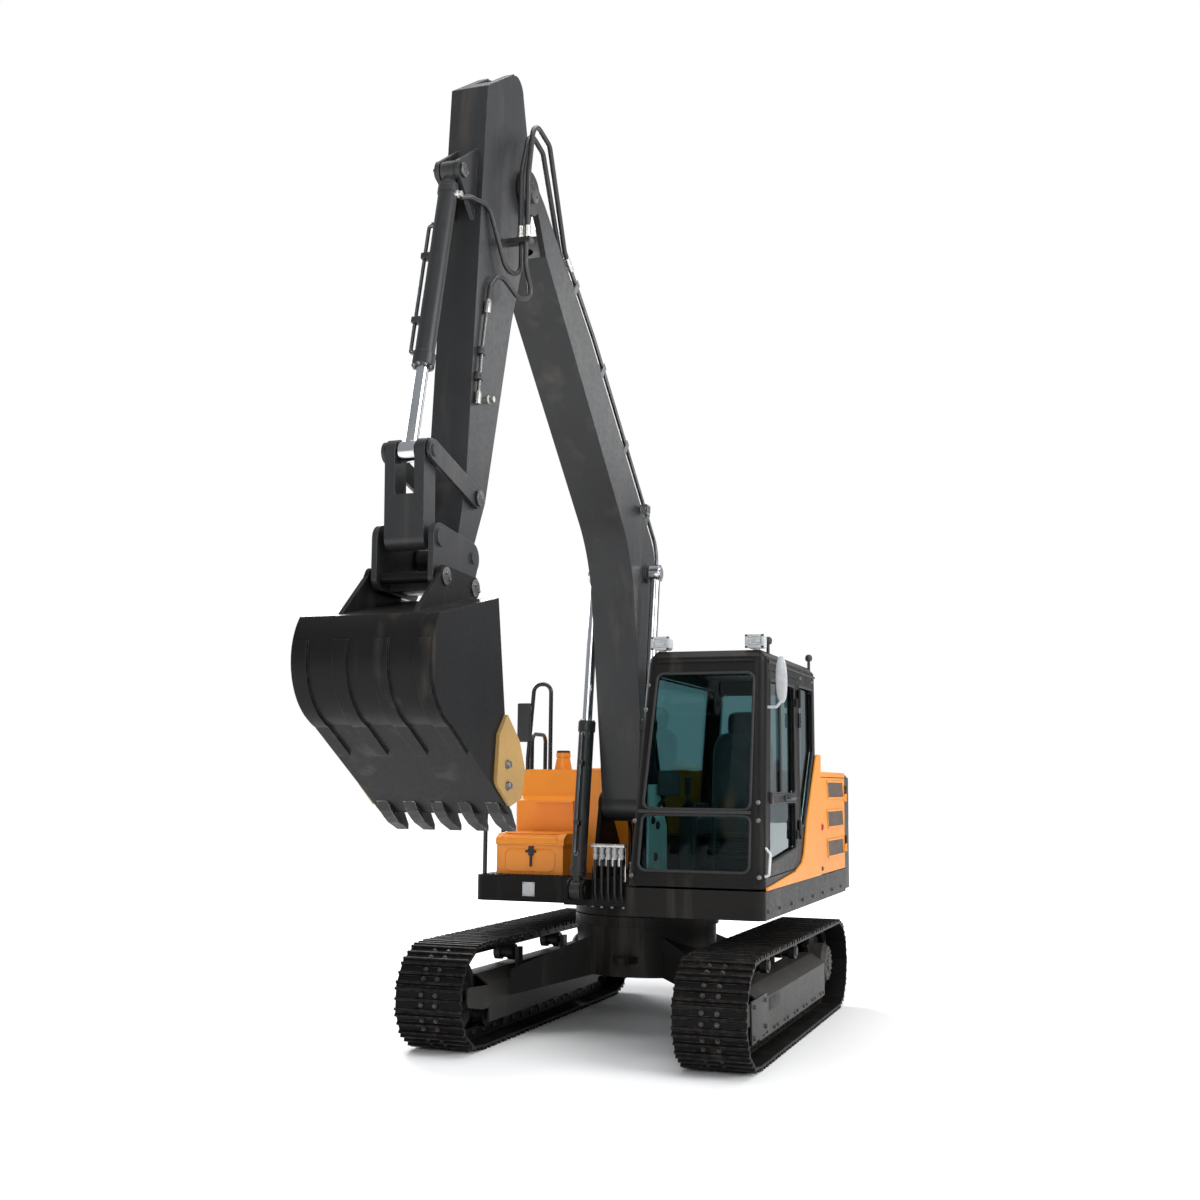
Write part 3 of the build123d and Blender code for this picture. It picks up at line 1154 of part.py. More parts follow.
def make_rocker():
    """Two rocker plates on one pin, with short pins for the bucket link."""
    y = BOOM_PLANE
    face = bar_face(ROCKER_PIVOT, 60, LINK_TOP, 60)
    rocker = rod_y(ROCKER_PIVOT, 35, y - ROCKER_OUT - 8, y + ROCKER_OUT + 8)
    for a in (-1, 1):
        ends = sorted((y + a * ROCKER_IN, y + a * ROCKER_OUT))
        rocker += slab(face, ends[0], ends[1])
        stub = sorted((y + a * 62, y + a * (ROCKER_OUT + 8)))
        rocker += rod_y(LINK_TOP, 35, stub[0], stub[1])
    return rocker


def make_link():
    """Bucket link with a deep slot for the rod eye."""
    y = BOOM_PLANE
    half = STICK_HALF - 2
    link = slab(bar_face(LINK_TOP, 68, LINK_FOOT, 68), y - half, y + half)
    link -= slab(disc(LINK_TOP, 250), y - 58, y + 58)
    link -= rod_y(LINK_TOP, 35 + PIN_GAP, y - half - 1, y + half + 1)
    return link


def make_coupler():
    """Quick coupler between stick, link and bucket pins."""
    y = BOOM_PLANE
    b, q, f, r = BUCKET_PIVOT, LINK_FOOT, BUCKET_PIN_FRONT, BUCKET_PIN_REAR
    face = bar_face(b, 84, q, 78) + bar_face(b, 80, f, 66) + bar_face(q, 78, r, 66) + bar_face(f, 62, r, 62)
    face += poly(b, q, r, f)
    face -= disc(f, 30 + PIN_GAP)
    face -= disc(r, 30 + PIN_GAP)
    body = rod_y(b, 35, y - COUPLER_OUT - 12, y + COUPLER_OUT + 12)
    for a in (-1, 1):
        ends = sorted((y + a * COUPLER_IN, y + a * COUPLER_OUT))
        body += slab(face, ends[0], ends[1])
        cap = sorted((y + a * (COUPLER_OUT - 4), y + a * (COUPLER_OUT + 12)))
        body += rod_y(q, 52, cap[0], cap[1])
    mid = (f[0] + r[0]) / 2
    body += block(mid - 90, mid + 90, y - COUPLER_IN - 4, y + COUPLER_IN + 4, f[1] - 42, r[1] + 19)
    box = block(mid - 110, mid + 70, y - COUPLER_OUT - 80, y - COUPLER_OUT + 4, b[1] - 70, b[1] + 60)
    body += fillet(box.edges().filter_by(Axis.Y), 22)
    return body


def bucket_face(reach):
    """Side view of the bucket; reach draws floor and top on beyond the mouth."""
    lip = (LIP[0] + reach * (LIP[0] - FLOOR_END[0]), LIP[1] + reach * (LIP[1] - FLOOR_END[1]))
    top = (MOUTH_TOP[0] + reach * (MOUTH_TOP[0] - BACK_TOP[0]),
           MOUTH_TOP[1] + reach * (MOUTH_TOP[1] - BACK_TOP[1]))
    edge = Line(lip, FLOOR_END) + ThreePointArc(FLOOR_END, HEEL, BACK_TOP)
    edge += Line(BACK_TOP, top) + Line(top, lip)
    return make_face(edge)


def make_bucket():
    """Open bucket shell with ears, side plates and lip."""
    y = BOOM_PLANE
    side = bucket_face(0)
    shell = slab(side, y - BUCKET_HALF, y + BUCKET_HALF)
    room = offset(bucket_face(0.4), -BUCKET_WRAP)
    half = BUCKET_HALF - BUCKET_SIDE
    shell -= slab(room, y - half, y + half)
    f, r = BUCKET_PIN_FRONT, BUCKET_PIN_REAR
    ear = poly((MOUTH_TOP[0] + 4, MOUTH_TOP[1] - 6), (4440, 2714), (r[0] + 62, r[1] + 10), (r[0], r[1] + 60),
               (f[0], f[1] + 60), (f[0] - 58, f[1] + 10))
    ear += disc(f, 62)
    ear += disc(r, 62)
    for a in (-1, 1):
        ends = sorted((y + a * EAR_IN, y + a * EAR_OUT))
        shell += slab(ear - offset(side, -4), ends[0], ends[1])
    for p in (f, r):
        shell += rod_y(p, 30, y - EAR_OUT, y + EAR_OUT)
    under = offset(side, WEAR_BAR) - offset(side, -4)
    under &= poly((LIP[0] + 330, LIP[1] - 200), (HEEL[0] + 200, LIP[1] - 200), (HEEL[0] + 200, HEEL[1] + 120),
                  (FLOOR_END[0], HEEL[1] + 120))
    for share in (-0.86, -0.29, 0.29, 0.86):
        mid = y + share * BUCKET_HALF
        shell += slab(under, mid - 40, mid + 40)
    return shell


def make_side_cutters():
    """Bolted cutting plates at the front edges of the bucket's sides."""
    y = BOOM_PLANE
    face = poly((3700, 2230), (3530, 2095), (3440, 1930), (3490, 1775), (3640, 1735), (3830, 1860),
                (3800, 2120))
    face = fillet(face.vertices().sort_by_distance((3440, 1930, 0))[0], 90)
    face = fillet(face.vertices().sort_by_distance((3830, 1860, 0))[0], 60)
    plates = []
    for a in (-1, 1):
        ends = sorted((y + a * (BUCKET_HALF + SEAT), y + a * (BUCKET_HALF + CUTTER_THICK)))
        plates.append(slab(face, ends[0], ends[1]))
    return Compound(children=plates)


def make_teeth():
    """Tooth points on adapters along the lip."""
    y = BOOM_PLANE
    dx, dz = FLOOR_END[0] - LIP[0], FLOOR_END[1] - LIP[1]
    d = hypot(dx, dz)
    u = (dx / d, dz / d)
    n = (-u[1], u[0])

    def at(s, h):
        return (LIP[0] + u[0] * s + n[0] * h, LIP[1] + u[1] * s + n[1] * h)

    tip = poly(at(-185, -4), at(-170, 22), at(-60, 62), at(-SEAT, 62), at(-SEAT, -30), at(-60, -30))
    top = poly(at(-SEAT, BUCKET_WRAP + SEAT), at(-SEAT, 62), at(60, 50), at(150, BUCKET_WRAP + SEAT))
    low = poly(at(-SEAT, -SEAT), at(-SEAT, -30), at(60, -24), at(130, -SEAT))
    pieces = []
    step = (2 * BUCKET_HALF - 130) / (TEETH - 1)
    for i in range(TEETH):
        mid = y + (i - (TEETH - 1) / 2) * step
        tooth = slab(tip, mid - 36, mid + 36) + slab(top, mid - 36, mid + 36)
        pieces.append(tooth + slab(low, mid - 36, mid + 36))
    return Compound(children=pieces)


def build():
    """All pieces by node name."""
    nodes = {}
    for name, shape in (("track", make_track()), ("track_frame", make_track_frame())):
        left, right = side_pair(shape)
        nodes[name + "_left"] = left
        nodes[name + "_right"] = right
    rollers = make_rollers() + make_carriers()
    nodes["track_rollers"] = Compound(children=[p for r in rollers for p in side_pair(r)])
    nodes["idlers"] = both(make_idler())
    nodes["sprockets"] = both(make_sprocket())
    nodes["final_drives"] = both(make_final_drive())
    nodes["car_body"] = make_car_body()
    nodes["slew_ring"] = make_slew_ring()
    nodes["platform"] = make_platform()
    nodes["house_pins"] = make_house_pins()
    nodes["counterweight"] = make_counterweight()
    nodes["engine"] = make_engine()
    nodes["engine_housing"] = make_engine_housing()
    nodes["engine_hood"] = make_hood()
    nodes["left_side_door"] = make_left_door()
    nodes["right_side_door"] = make_right_door()
    nodes["fuel_tank"] = Compound(children=[make_fuel_tank(), make_filler()])
    nodes["hydraulic_tank"] = make_hydraulic_tank()
    nodes["toolbox"] = make_toolbox()
    nodes["toolbox_lid"] = make_toolbox_lid()
    nodes["side_trim"] = make_side_trim()
    nodes.update(make_cab())
    nodes["cab_mounts"] = make_cab_mounts()
    nodes["seat"] = make_seat()
    nodes["controls"] = make_controls()
    nodes["handrails"] = make_handrails()
    nodes["work_lamps"] = make_lamps()
    nodes["mirrors"] = make_mirrors()
    nodes["exhaust"] = make_exhaust()
    nodes["boom"] = make_boom()
    nodes["boom_pins"] = make_boom_pins()
    nodes["boom_fittings"] = make_boom_fittings()
    nodes["boom_hoses"] = make_boom_hoses()
    nodes["stick_hoses"] = make_stick_hoses()
    nodes["stick"] = make_stick()
    nodes["stick_pins"] = make_stick_pins()
    nodes.update(make_cylinders())
    nodes["rocker"] = make_rocker()
    nodes["bucket_link"] = make_link()
    nodes["coupler"] = make_coupler()
    nodes["bucket"] = make_bucket()
    nodes["bucket_teeth"] = make_teeth()
    nodes["side_cutters"] = make_side_cutters()
    return nodes


def main():
    """Write one STEP file for each node."""
    os.makedirs("parts", exist_ok=True)
    for name, shape in build().items():
        export_step(shape, os.path.join("parts", name + ".step"))


if __name__ == "__main__":
    main()
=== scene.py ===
"""Looks of the crawler excavator: finishes, fasteners, glazing seals, cab interior, hoses and studio."""

from math import cos, pi, radians, sin, tan

import bmesh
import bpy
from mathutils import Matrix, Vector


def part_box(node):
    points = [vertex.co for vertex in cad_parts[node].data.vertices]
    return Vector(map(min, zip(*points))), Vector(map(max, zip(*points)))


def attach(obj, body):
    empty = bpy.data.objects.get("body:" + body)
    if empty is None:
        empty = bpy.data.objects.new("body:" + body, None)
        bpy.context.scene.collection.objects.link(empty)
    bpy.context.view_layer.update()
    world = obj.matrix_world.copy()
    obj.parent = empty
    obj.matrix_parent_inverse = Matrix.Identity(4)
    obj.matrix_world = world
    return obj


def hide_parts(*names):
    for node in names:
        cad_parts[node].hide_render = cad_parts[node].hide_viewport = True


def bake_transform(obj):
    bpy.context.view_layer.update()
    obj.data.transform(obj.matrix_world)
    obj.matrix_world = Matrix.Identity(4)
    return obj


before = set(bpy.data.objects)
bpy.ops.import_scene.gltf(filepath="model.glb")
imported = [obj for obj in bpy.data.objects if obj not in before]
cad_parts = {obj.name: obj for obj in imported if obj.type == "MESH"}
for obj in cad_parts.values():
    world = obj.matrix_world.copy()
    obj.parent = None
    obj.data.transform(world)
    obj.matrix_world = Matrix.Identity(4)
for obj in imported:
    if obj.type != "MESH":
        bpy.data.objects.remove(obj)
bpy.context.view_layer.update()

# Viewpoint of the photograph, in metres and radians
CAMERA_PLACE = Vector((10.897, 3.471, 1.861))
CAMERA_YAW = 0.343
CAMERA_PITCH = 0.128
CAMERA_ROLL = 0.010
CAMERA_LENS = 42.84
SENSOR = 36.0

# Track layout, in metres
TRACK_LOW, TRACK_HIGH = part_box("track_left")
TRACK_HEIGHT = TRACK_HIGH.z - TRACK_LOW.z
TRACK_Y = (TRACK_LOW.y + TRACK_HIGH.y) / 2
AXLE_Z = TRACK_HEIGHT / 2
HALF_BASE = 1.475
GROUSER = 0.022
SHOE_PLATE = 0.014
PLATE_RADIUS = AXLE_Z - GROUSER
SHOES = 45
TRACK_RUN = 2 * HALF_BASE
TRACK_PATH = 2 * (TRACK_RUN + pi * PLATE_RADIUS)
SHOE_PITCH = TRACK_PATH / SHOES

# Arm layout: middle plane and pin points as (x, z)
ARM_Y = -0.050
BOOM_CYL_FOOT = (0.790, 1.080)
BOOM_ROD_PIN = (0.450, 3.480)
STICK_PIVOT = (2.880, 5.580)
STICK_CYL_FOOT = (0.920, 4.420)
STICK_TAIL = (3.020, 6.200)
BUCKET_CYL_FOOT = (3.700, 5.400)
ROCKER_PIVOT = (3.540, 3.480)
LINK_TOP = (4.115, 3.635)
BUCKET_PIN_FRONT = (3.740, 2.930)
BUCKET_PIN_REAR = (4.110, 2.945)

# Cab layout: walls lean in with height
CAB_FLOOR = 1.166
CAB_ROOF = 2.800
CAB_RISE = CAB_ROOF - CAB_FLOOR
CAB_FRONT = 1.335
CAB_REAR = -0.560
CAB_LEFT = 1.245
CAB_RIGHT = 0.270
SEAT_Y = 0.7575
FRONT_LEAN = 0.120
LEFT_LEAN = 0.010
RIGHT_LEAN = 0.115

# Outer faces of the house, the track frames and the stick
HOUSE_SIDE = 1.245
FRAME_FACE = TRACK_Y + 0.180
STICK_FACE = ARM_Y + 0.120
HUB_BOLTS, HUB_RING = 12, 0.105
RING_BOLTS = 40
ROLLERS, ROLLER_PITCH = 7, 0.340

# Hoses: lanes out from the arm's middle plane, route as (x, z), crimped end as (distance, radius)
PIPE_LANES = (-0.150, -0.112, 0.112, 0.150)
STICK_LANES = ((-0.150, -0.250, 0.045), (-0.112, -0.205, 0.0), (0.112, 0.205, 0.0), (0.150, 0.250, 0.045))
BOOM_HOSE = ((-0.170, 1.150), (-0.170, 1.500), (0.020, 1.880), (0.173, 2.220), (0.187, 2.360))
HOSE_RADIUS = 0.017
LOOP_RADIUS = 0.015
HOSE_STEP = 0.03
HOSE_END = ((-0.02, 0.022), (0.018, 0.024), (0.020, 0.021), (0.080, 0.021), (0.083, 0.018))

# Studio: soft boxes as place, target, size and watts; the floor's glow starts and ends at these reaches
LIGHTS = {
    "key": ((4.0, 13.0, 8.0), (0.8, 0, 2.4), (9, 7), 1600),
    "top": ((1.0, 1.0, 15.0), (1.0, 0, 2), (12, 10), 1450),
    "front": ((15.0, 2.0, 6.5), (1.5, 0, 2.5), (7, 6), 550),
    "left_rear": ((-9.0, 5.5, 8.5), (2.0, 0, 4.6), (8, 4), 130),
    "rim": ((-9.0, -9.0, 8.0), (0, 0, 2.5), (7, 6), 1500),
}
WORLD_LIGHT = 0.45
FLOOR_RADIUS = 70
GLOW_START, GLOW_END, GLOW = 3.0, 11.0, 0.9

# Paints: colour, roughness, colour of worn edges, wear, dust, other settings
DUST = (0.20, 0.17, 0.13)
PAINTS = {
    "arm_grey": ((0.019, 0.0195, 0.0205), 0.34, (0.10, 0.10, 0.10), 0.45, 0.05, {"gloss": 0.36}),
    "bucket_black": ((0.0075, 0.0075, 0.008), 0.36, (0.05, 0.048, 0.046), 0.8, 0.05, {"gloss": 0.11}),
    "tooth_steel": ((0.012, 0.011, 0.011), 0.42, (0.26, 0.25, 0.24), 1.0, 0.05,
                    {"edge": 0.010, "gloss": 0.35}),
    "orange_paint": ((0.88, 0.28, 0.015), 0.33, (0.95, 0.50, 0.10), 0.45, 0.05, {"grime": 0.10}),
    "panel_yellow": ((0.66, 0.245, 0.032), 0.40, (0.90, 0.50, 0.14), 0.35, 0.08,
                     {"grime": 0.12, "gloss": 0.14}),
    "cab_dark": ((0.0095, 0.0088, 0.0084), 0.36, (0.05, 0.047, 0.045), 0.45, 0.06, {"gloss": 0.10}),
    "deck_dark": ((0.0105, 0.0095, 0.0088), 0.40, (0.05, 0.047, 0.045), 0.5, 0.07, {"gloss": 0.10}),
    "weight_grey": ((0.020, 0.019, 0.0185), 0.45, (0.10, 0.095, 0.09), 0.5, 0.10, {"gloss": 0.35}),
    "frame_grey": ((0.030, 0.029, 0.027), 0.50, (0.12, 0.115, 0.11), 0.5, 0.12, {"gloss": 0.35}),
    "track_steel": ((0.0045, 0.0040, 0.0039), 0.44, (0.12, 0.108, 0.10), 0.95, 0.02,
                    {"edge": 0.007, "peel": 0.15, "grime": 0.30, "gloss": 0.11}),
    "roller_steel": ((0.012, 0.0115, 0.011), 0.45, (0.14, 0.13, 0.12), 0.8, 0.10, {"gloss": 0.3}),
    "rail_black": ((0.006, 0.006, 0.0065), 0.25, (0.08, 0.08, 0.08), 0.3, 0.05, {}),
    "engine_grey": ((0.10, 0.105, 0.11), 0.55, (0.25, 0.25, 0.25), 0.5, 0.4, {}),
    "plate_ochre": ((0.34, 0.20, 0.055), 0.45, (0.70, 0.55, 0.25), 0.6, 0.15, {}),
}

# Bare metals, then plastics and rubber: colour, roughness, other settings
METALS = {
    "pin_steel": ((0.17, 0.165, 0.16), 0.38, {}),
    "bolt_steel": ((0.20, 0.195, 0.19), 0.35, {}),
    "dark_bolt": ((0.09, 0.085, 0.082), 0.42, {}),
    "fitting_zinc": ((0.66, 0.65, 0.62), 0.28, {}),
    "chrome": ((0.60, 0.61, 0.63), 0.12, {"wear": 0.1, "dark": 0.85}),
    "pipe_steel": ((0.17, 0.17, 0.17), 0.34, {}),
    "exhaust_steel": ((0.22, 0.19, 0.17), 0.45, {}),
    "mirror_glass": ((0.88, 0.90, 0.92), 0.03, {"wear": 0.0, "dark": 0.97}),
}
PLASTICS = {
    "rubber": ((0.008, 0.008, 0.008), 0.60, {"edge": 0.001}),
    "hose_rubber": ((0.014, 0.014, 0.015), 0.38, {"grain": 500, "depth": 0.2, "edge": 0.001}),
    "black_plastic": ((0.012, 0.012, 0.013), 0.48, {"edge": 0.002}),
    "white_plastic": ((0.56, 0.57, 0.57), 0.30, {}),
    "mirror_shell": ((0.36, 0.37, 0.38), 0.22, {}),
    "red_plastic": ((0.45, 0.02, 0.015), 0.35, {}),
    "grille_brown": ((0.070, 0.044, 0.030), 0.60, {}),
    "panel_pale": ((0.50, 0.62, 0.58), 0.40, {}),
}


# Finishes

class Finish:
    """One procedural material, with short calls to add and join its nodes."""

    def __init__(self, name):
        self.material = bpy.data.materials.new(name)
        self.material.use_nodes = True
        self.tree = self.material.node_tree
        self.tree.nodes.clear()
        self.shader = self.tree.nodes.new("ShaderNodeBsdfPrincipled")
        out = self.tree.nodes.new("ShaderNodeOutputMaterial")
        self.tree.links.new(self.shader.outputs[0], out.inputs["Surface"])
        self.place = self.tree.nodes.new("ShaderNodeTexCoord").outputs["Object"]

    def put(self, socket, value):
        """Link an output to a socket, or set a constant on it."""
        if isinstance(value, bpy.types.NodeSocket):
            self.tree.links.new(value, socket)
        else:
            socket.default_value = value

    def node(self, kind, inputs, **settings):
        """Add a node with these settings and inputs, and give its outputs."""
        node = self.tree.nodes.new("ShaderNode" + kind)
        for key, value in settings.items():
            setattr(node, key, value)
        for key, value in inputs.items():
            self.put(node.inputs[key], value)
        return node.outputs

    def noise(self, scale, detail=3.0, stretch=(1, 1, 1), roughness=0.55):
        """Noise in the part's own frame, stretched along an axis where asked."""
        source = self.place
        if stretch != (1, 1, 1):
            source = self.node("Mapping", {"Vector": source, "Scale": stretch})["Vector"]
        return self.node("TexNoise", {"Vector": source, "Scale": scale, "Detail": detail,
                                      "Roughness": roughness})["Fac"]

    def spread(self, value, low, high, start=0.0, end=1.0):
        """Map a value from low..high to start..end, held at both ends."""
        return self.node("MapRange", {"Value": value, "From Min": low, "From Max": high,
                                      "To Min": start, "To Max": end})["Result"]

    def math(self, operation, a, b):
        """Arithmetic on two values."""
        return self.node("Math", {0: a, 1: b}, operation=operation)[0]

    def mix(self, factor, a, b):
        """Colour between a and b."""
        a, b = (c if isinstance(c, bpy.types.NodeSocket) else (*c, 1) for c in (a, b))
        return self.node("Mix", {"Factor": factor, 6: a, 7: b}, data_type="RGBA")[2]

    def soft_edges(self, radius):
        """Normal with rounded edges, and a mask of those edges."""
        normal = self.node("Bevel", {"Radius": radius}, samples=4)["Normal"]
        face = self.node("NewGeometry", {})["Normal"]
        dot = self.node("VectorMath", {0: normal, 1: face}, operation="DOT_PRODUCT")["Value"]
        return normal, self.spread(dot, 0.985, 0.80)

    def upward(self, low, high):
        """Mask of the faces that look up, where dust settles."""
        face = self.node("NewGeometry", {})["Normal"]
        return self.spread(self.node("SeparateXYZ", {0: face})["Z"], low, high)

    def bump(self, height, strength, distance, normal=None):
        """Relief from a height, on the face's own normal or a softened one."""
        inputs = {"Strength": strength, "Distance": distance, "Height": height}
        if normal is not None:
            inputs["Normal"] = normal
        return self.node("Bump", inputs)["Normal"]

    def finish(self, **sockets):
        """Set the shader's sockets and give the material back."""
        for key, value in sockets.items():
            self.put(self.shader.inputs[key.replace("_", " ")], value)
        return self.material


def painted(name, colour, roughness, edge_colour, wear=0.5, dust=0.25, edge=0.006, peel=0.06,
            grime=0.30, gloss=0.5):
    """Sprayed steel: cloudy colour, dust on top, streaks, worn edges and a fine orange peel."""
    f = Finish(name)
    normal, edges = f.soft_edges(edge)
    cloud = f.noise(1.7, 5)
    speck = f.noise(38, 4)
    streak = f.noise(6, 4, (1, 1, 0.12))
    dark = tuple(c * (1 - grime) for c in colour)
    tint = f.mix(f.spread(cloud, 0.35, 0.70), colour, dark)
    tint = f.mix(f.math("MULTIPLY", f.spread(streak, 0.56, 0.78), 0.5 * grime), tint, DUST)
    settled = f.math("MULTIPLY", f.upward(0.35, 0.95), f.spread(speck, 0.30, 0.72, 0.25, 1.0))
    tint = f.mix(f.math("MULTIPLY", settled, dust), tint, DUST)
    chips = f.math("MULTIPLY", edges, f.spread(f.noise(23, 5), 0.40, 0.62))
    tint = f.mix(f.math("MULTIPLY", chips, wear), tint, edge_colour)
    rough = f.spread(f.math("ADD", speck, f.math("MULTIPLY", settled, dust)), 0.25, 1.0,
                     roughness - 0.05, roughness + 0.16)
    relief = f.bump(f.noise(340, 2), peel, 0.002, normal)
    return f.finish(Base_Color=tint, Roughness=rough, Normal=relief, Specular_IOR_Level=gloss)


def bare_metal(name, colour, roughness, wear=0.35, edge=0.003, dark=0.5):
    """Machined or worn steel with drawn marks and darker patches."""
    f = Finish(name)
    normal, edges = f.soft_edges(edge)
    patch = f.noise(7, 5)
    marks = f.noise(90, 3)
    low = tuple(c * dark for c in colour)
    bright = tuple(min(1.0, c * 1.35 + 0.05) for c in colour)
    tint = f.mix(f.spread(patch, 0.35, 0.75), colour, low)
    tint = f.mix(f.math("MULTIPLY", edges, wear), tint, bright)
    rough = f.spread(marks, 0.3, 0.7, roughness * 0.75, roughness * 1.35)
    return f.finish(Base_Color=tint, Roughness=rough, Metallic=1.0, Normal=f.bump(marks, 0.04, 0.001, normal))


def plastic(name, colour, roughness, grain=300, depth=0.12, edge=0.004):
    """Moulded plastic or rubber with a fine grain."""
    f = Finish(name)
    normal, edges = f.soft_edges(edge)
    cloud = f.noise(5, 4)
    pale = tuple(min(1.0, c * 1.5 + 0.01) for c in colour)
    tint = f.mix(f.spread(cloud, 0.3, 0.75), colour, tuple(c * 0.75 for c in colour))
    tint = f.mix(f.math("MULTIPLY", edges, 0.4), tint, pale)
    rough = f.spread(f.noise(25, 3), 0.3, 0.7, roughness - 0.06, roughness + 0.10)
    return f.finish(Base_Color=tint, Roughness=rough, Normal=f.bump(f.noise(grain, 2), depth, 0.002, normal))


def tinted_glass(name, colour, smear):
    """Window glass with a tint and faint smears."""
    f = Finish(name)
    streaks = f.noise(3.5, 5, (1, 1, 0.35))
    rough = f.spread(streaks, 0.45, 0.80, 0.0, smear)
    return f.finish(Base_Color=(*colour, 1), Roughness=rough, IOR=1.30, Transmission_Weight=1.0,
                    Specular_IOR_Level=0.35, Normal=f.bump(f.noise(1.3, 2), 0.02, 0.01))


def woven(name, colour):
    """Seat cloth: crossed threads, soft sheen and faded patches."""
    f = Finish(name)
    threads = [f.node("TexWave", {"Vector": f.place, "Scale": 120, "Distortion": 0.6},
                      bands_direction=direction)["Fac"] for direction in ("X", "Z")]
    weave = f.math("MULTIPLY", *threads)
    faded = tuple(min(1.0, c * 1.6 + 0.01) for c in colour)
    tint = f.mix(f.spread(f.noise(6, 4), 0.35, 0.75), colour, faded)
    return f.finish(Base_Color=tint, Roughness=0.85, Sheen_Weight=0.25, Normal=f.bump(weave, 0.35, 0.002))


def make_finishes():
    """All materials by name."""
    made = {}
    for make, table in ((painted, PAINTS), (bare_metal, METALS), (plastic, PLASTICS)):
        for name, (*plain, other) in table.items():
            made[name] = make(name, *plain, **other)
    made["window_teal"] = tinted_glass("window_teal", (0.34, 0.54, 0.55), 0.10)
    made["lamp_lens"] = tinted_glass("lamp_lens", (0.93, 0.95, 0.96), 0.06)
    made["seat_cloth"] = woven("seat_cloth", (0.030, 0.032, 0.036))
    return made


FINISH = make_finishes()

NODE_FINISH = {
    "track_steel": ["track_left", "track_right"],
    "frame_grey": ["track_frame_left", "track_frame_right", "final_drives"],
    "roller_steel": ["track_rollers", "idlers", "sprockets"],
    "deck_dark": ["car_body", "platform", "slew_ring"],
    "pin_steel": ["house_pins", "boom_pins", "stick_pins"],
    "weight_grey": ["counterweight"],
    "engine_grey": ["engine"],
    "panel_yellow": ["engine_housing", "engine_hood", "left_side_door", "right_side_door", "side_trim"],
    "orange_paint": ["fuel_tank", "hydraulic_tank", "toolbox", "toolbox_lid"],
    "cab_dark": ["cab_floor", "cab_front", "cab_rear_wall", "cab_left_wall", "cab_right_wall", "cab_roof",
                 "cab_door"],
    "window_teal": ["cab_glass", "door_glass"],
    "rubber": ["cab_mounts"],
    "black_plastic": ["seat", "controls"],
    "rail_black": ["handrails"],
    "white_plastic": ["work_lamps"],
    "mirror_shell": ["mirrors"],
    "exhaust_steel": ["exhaust"],
    "arm_grey": ["boom", "stick", "boom_cylinder_barrels", "stick_cylinder_barrel", "bucket_cylinder_barrel",
                 "rocker", "bucket_link", "coupler"],
    "chrome": ["boom_cylinder_rods", "stick_cylinder_rod", "bucket_cylinder_rod"],
    "bucket_black": ["bucket"],
    "tooth_steel": ["bucket_teeth"],
    "plate_ochre": ["side_cutters"],
    "pipe_steel": ["boom_fittings"],
    "hose_rubber": ["boom_hoses", "stick_hoses"],
}


def finish_nodes():
    """Give each CAD node its material."""
    for finish, names in NODE_FINISH.items():
        for name in names:
            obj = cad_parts[name]
            if not obj.material_slots:
                obj.data.materials.append(FINISH[finish])
            for place in obj.material_slots:
                place.material = FINISH[finish]


# Mesh tools

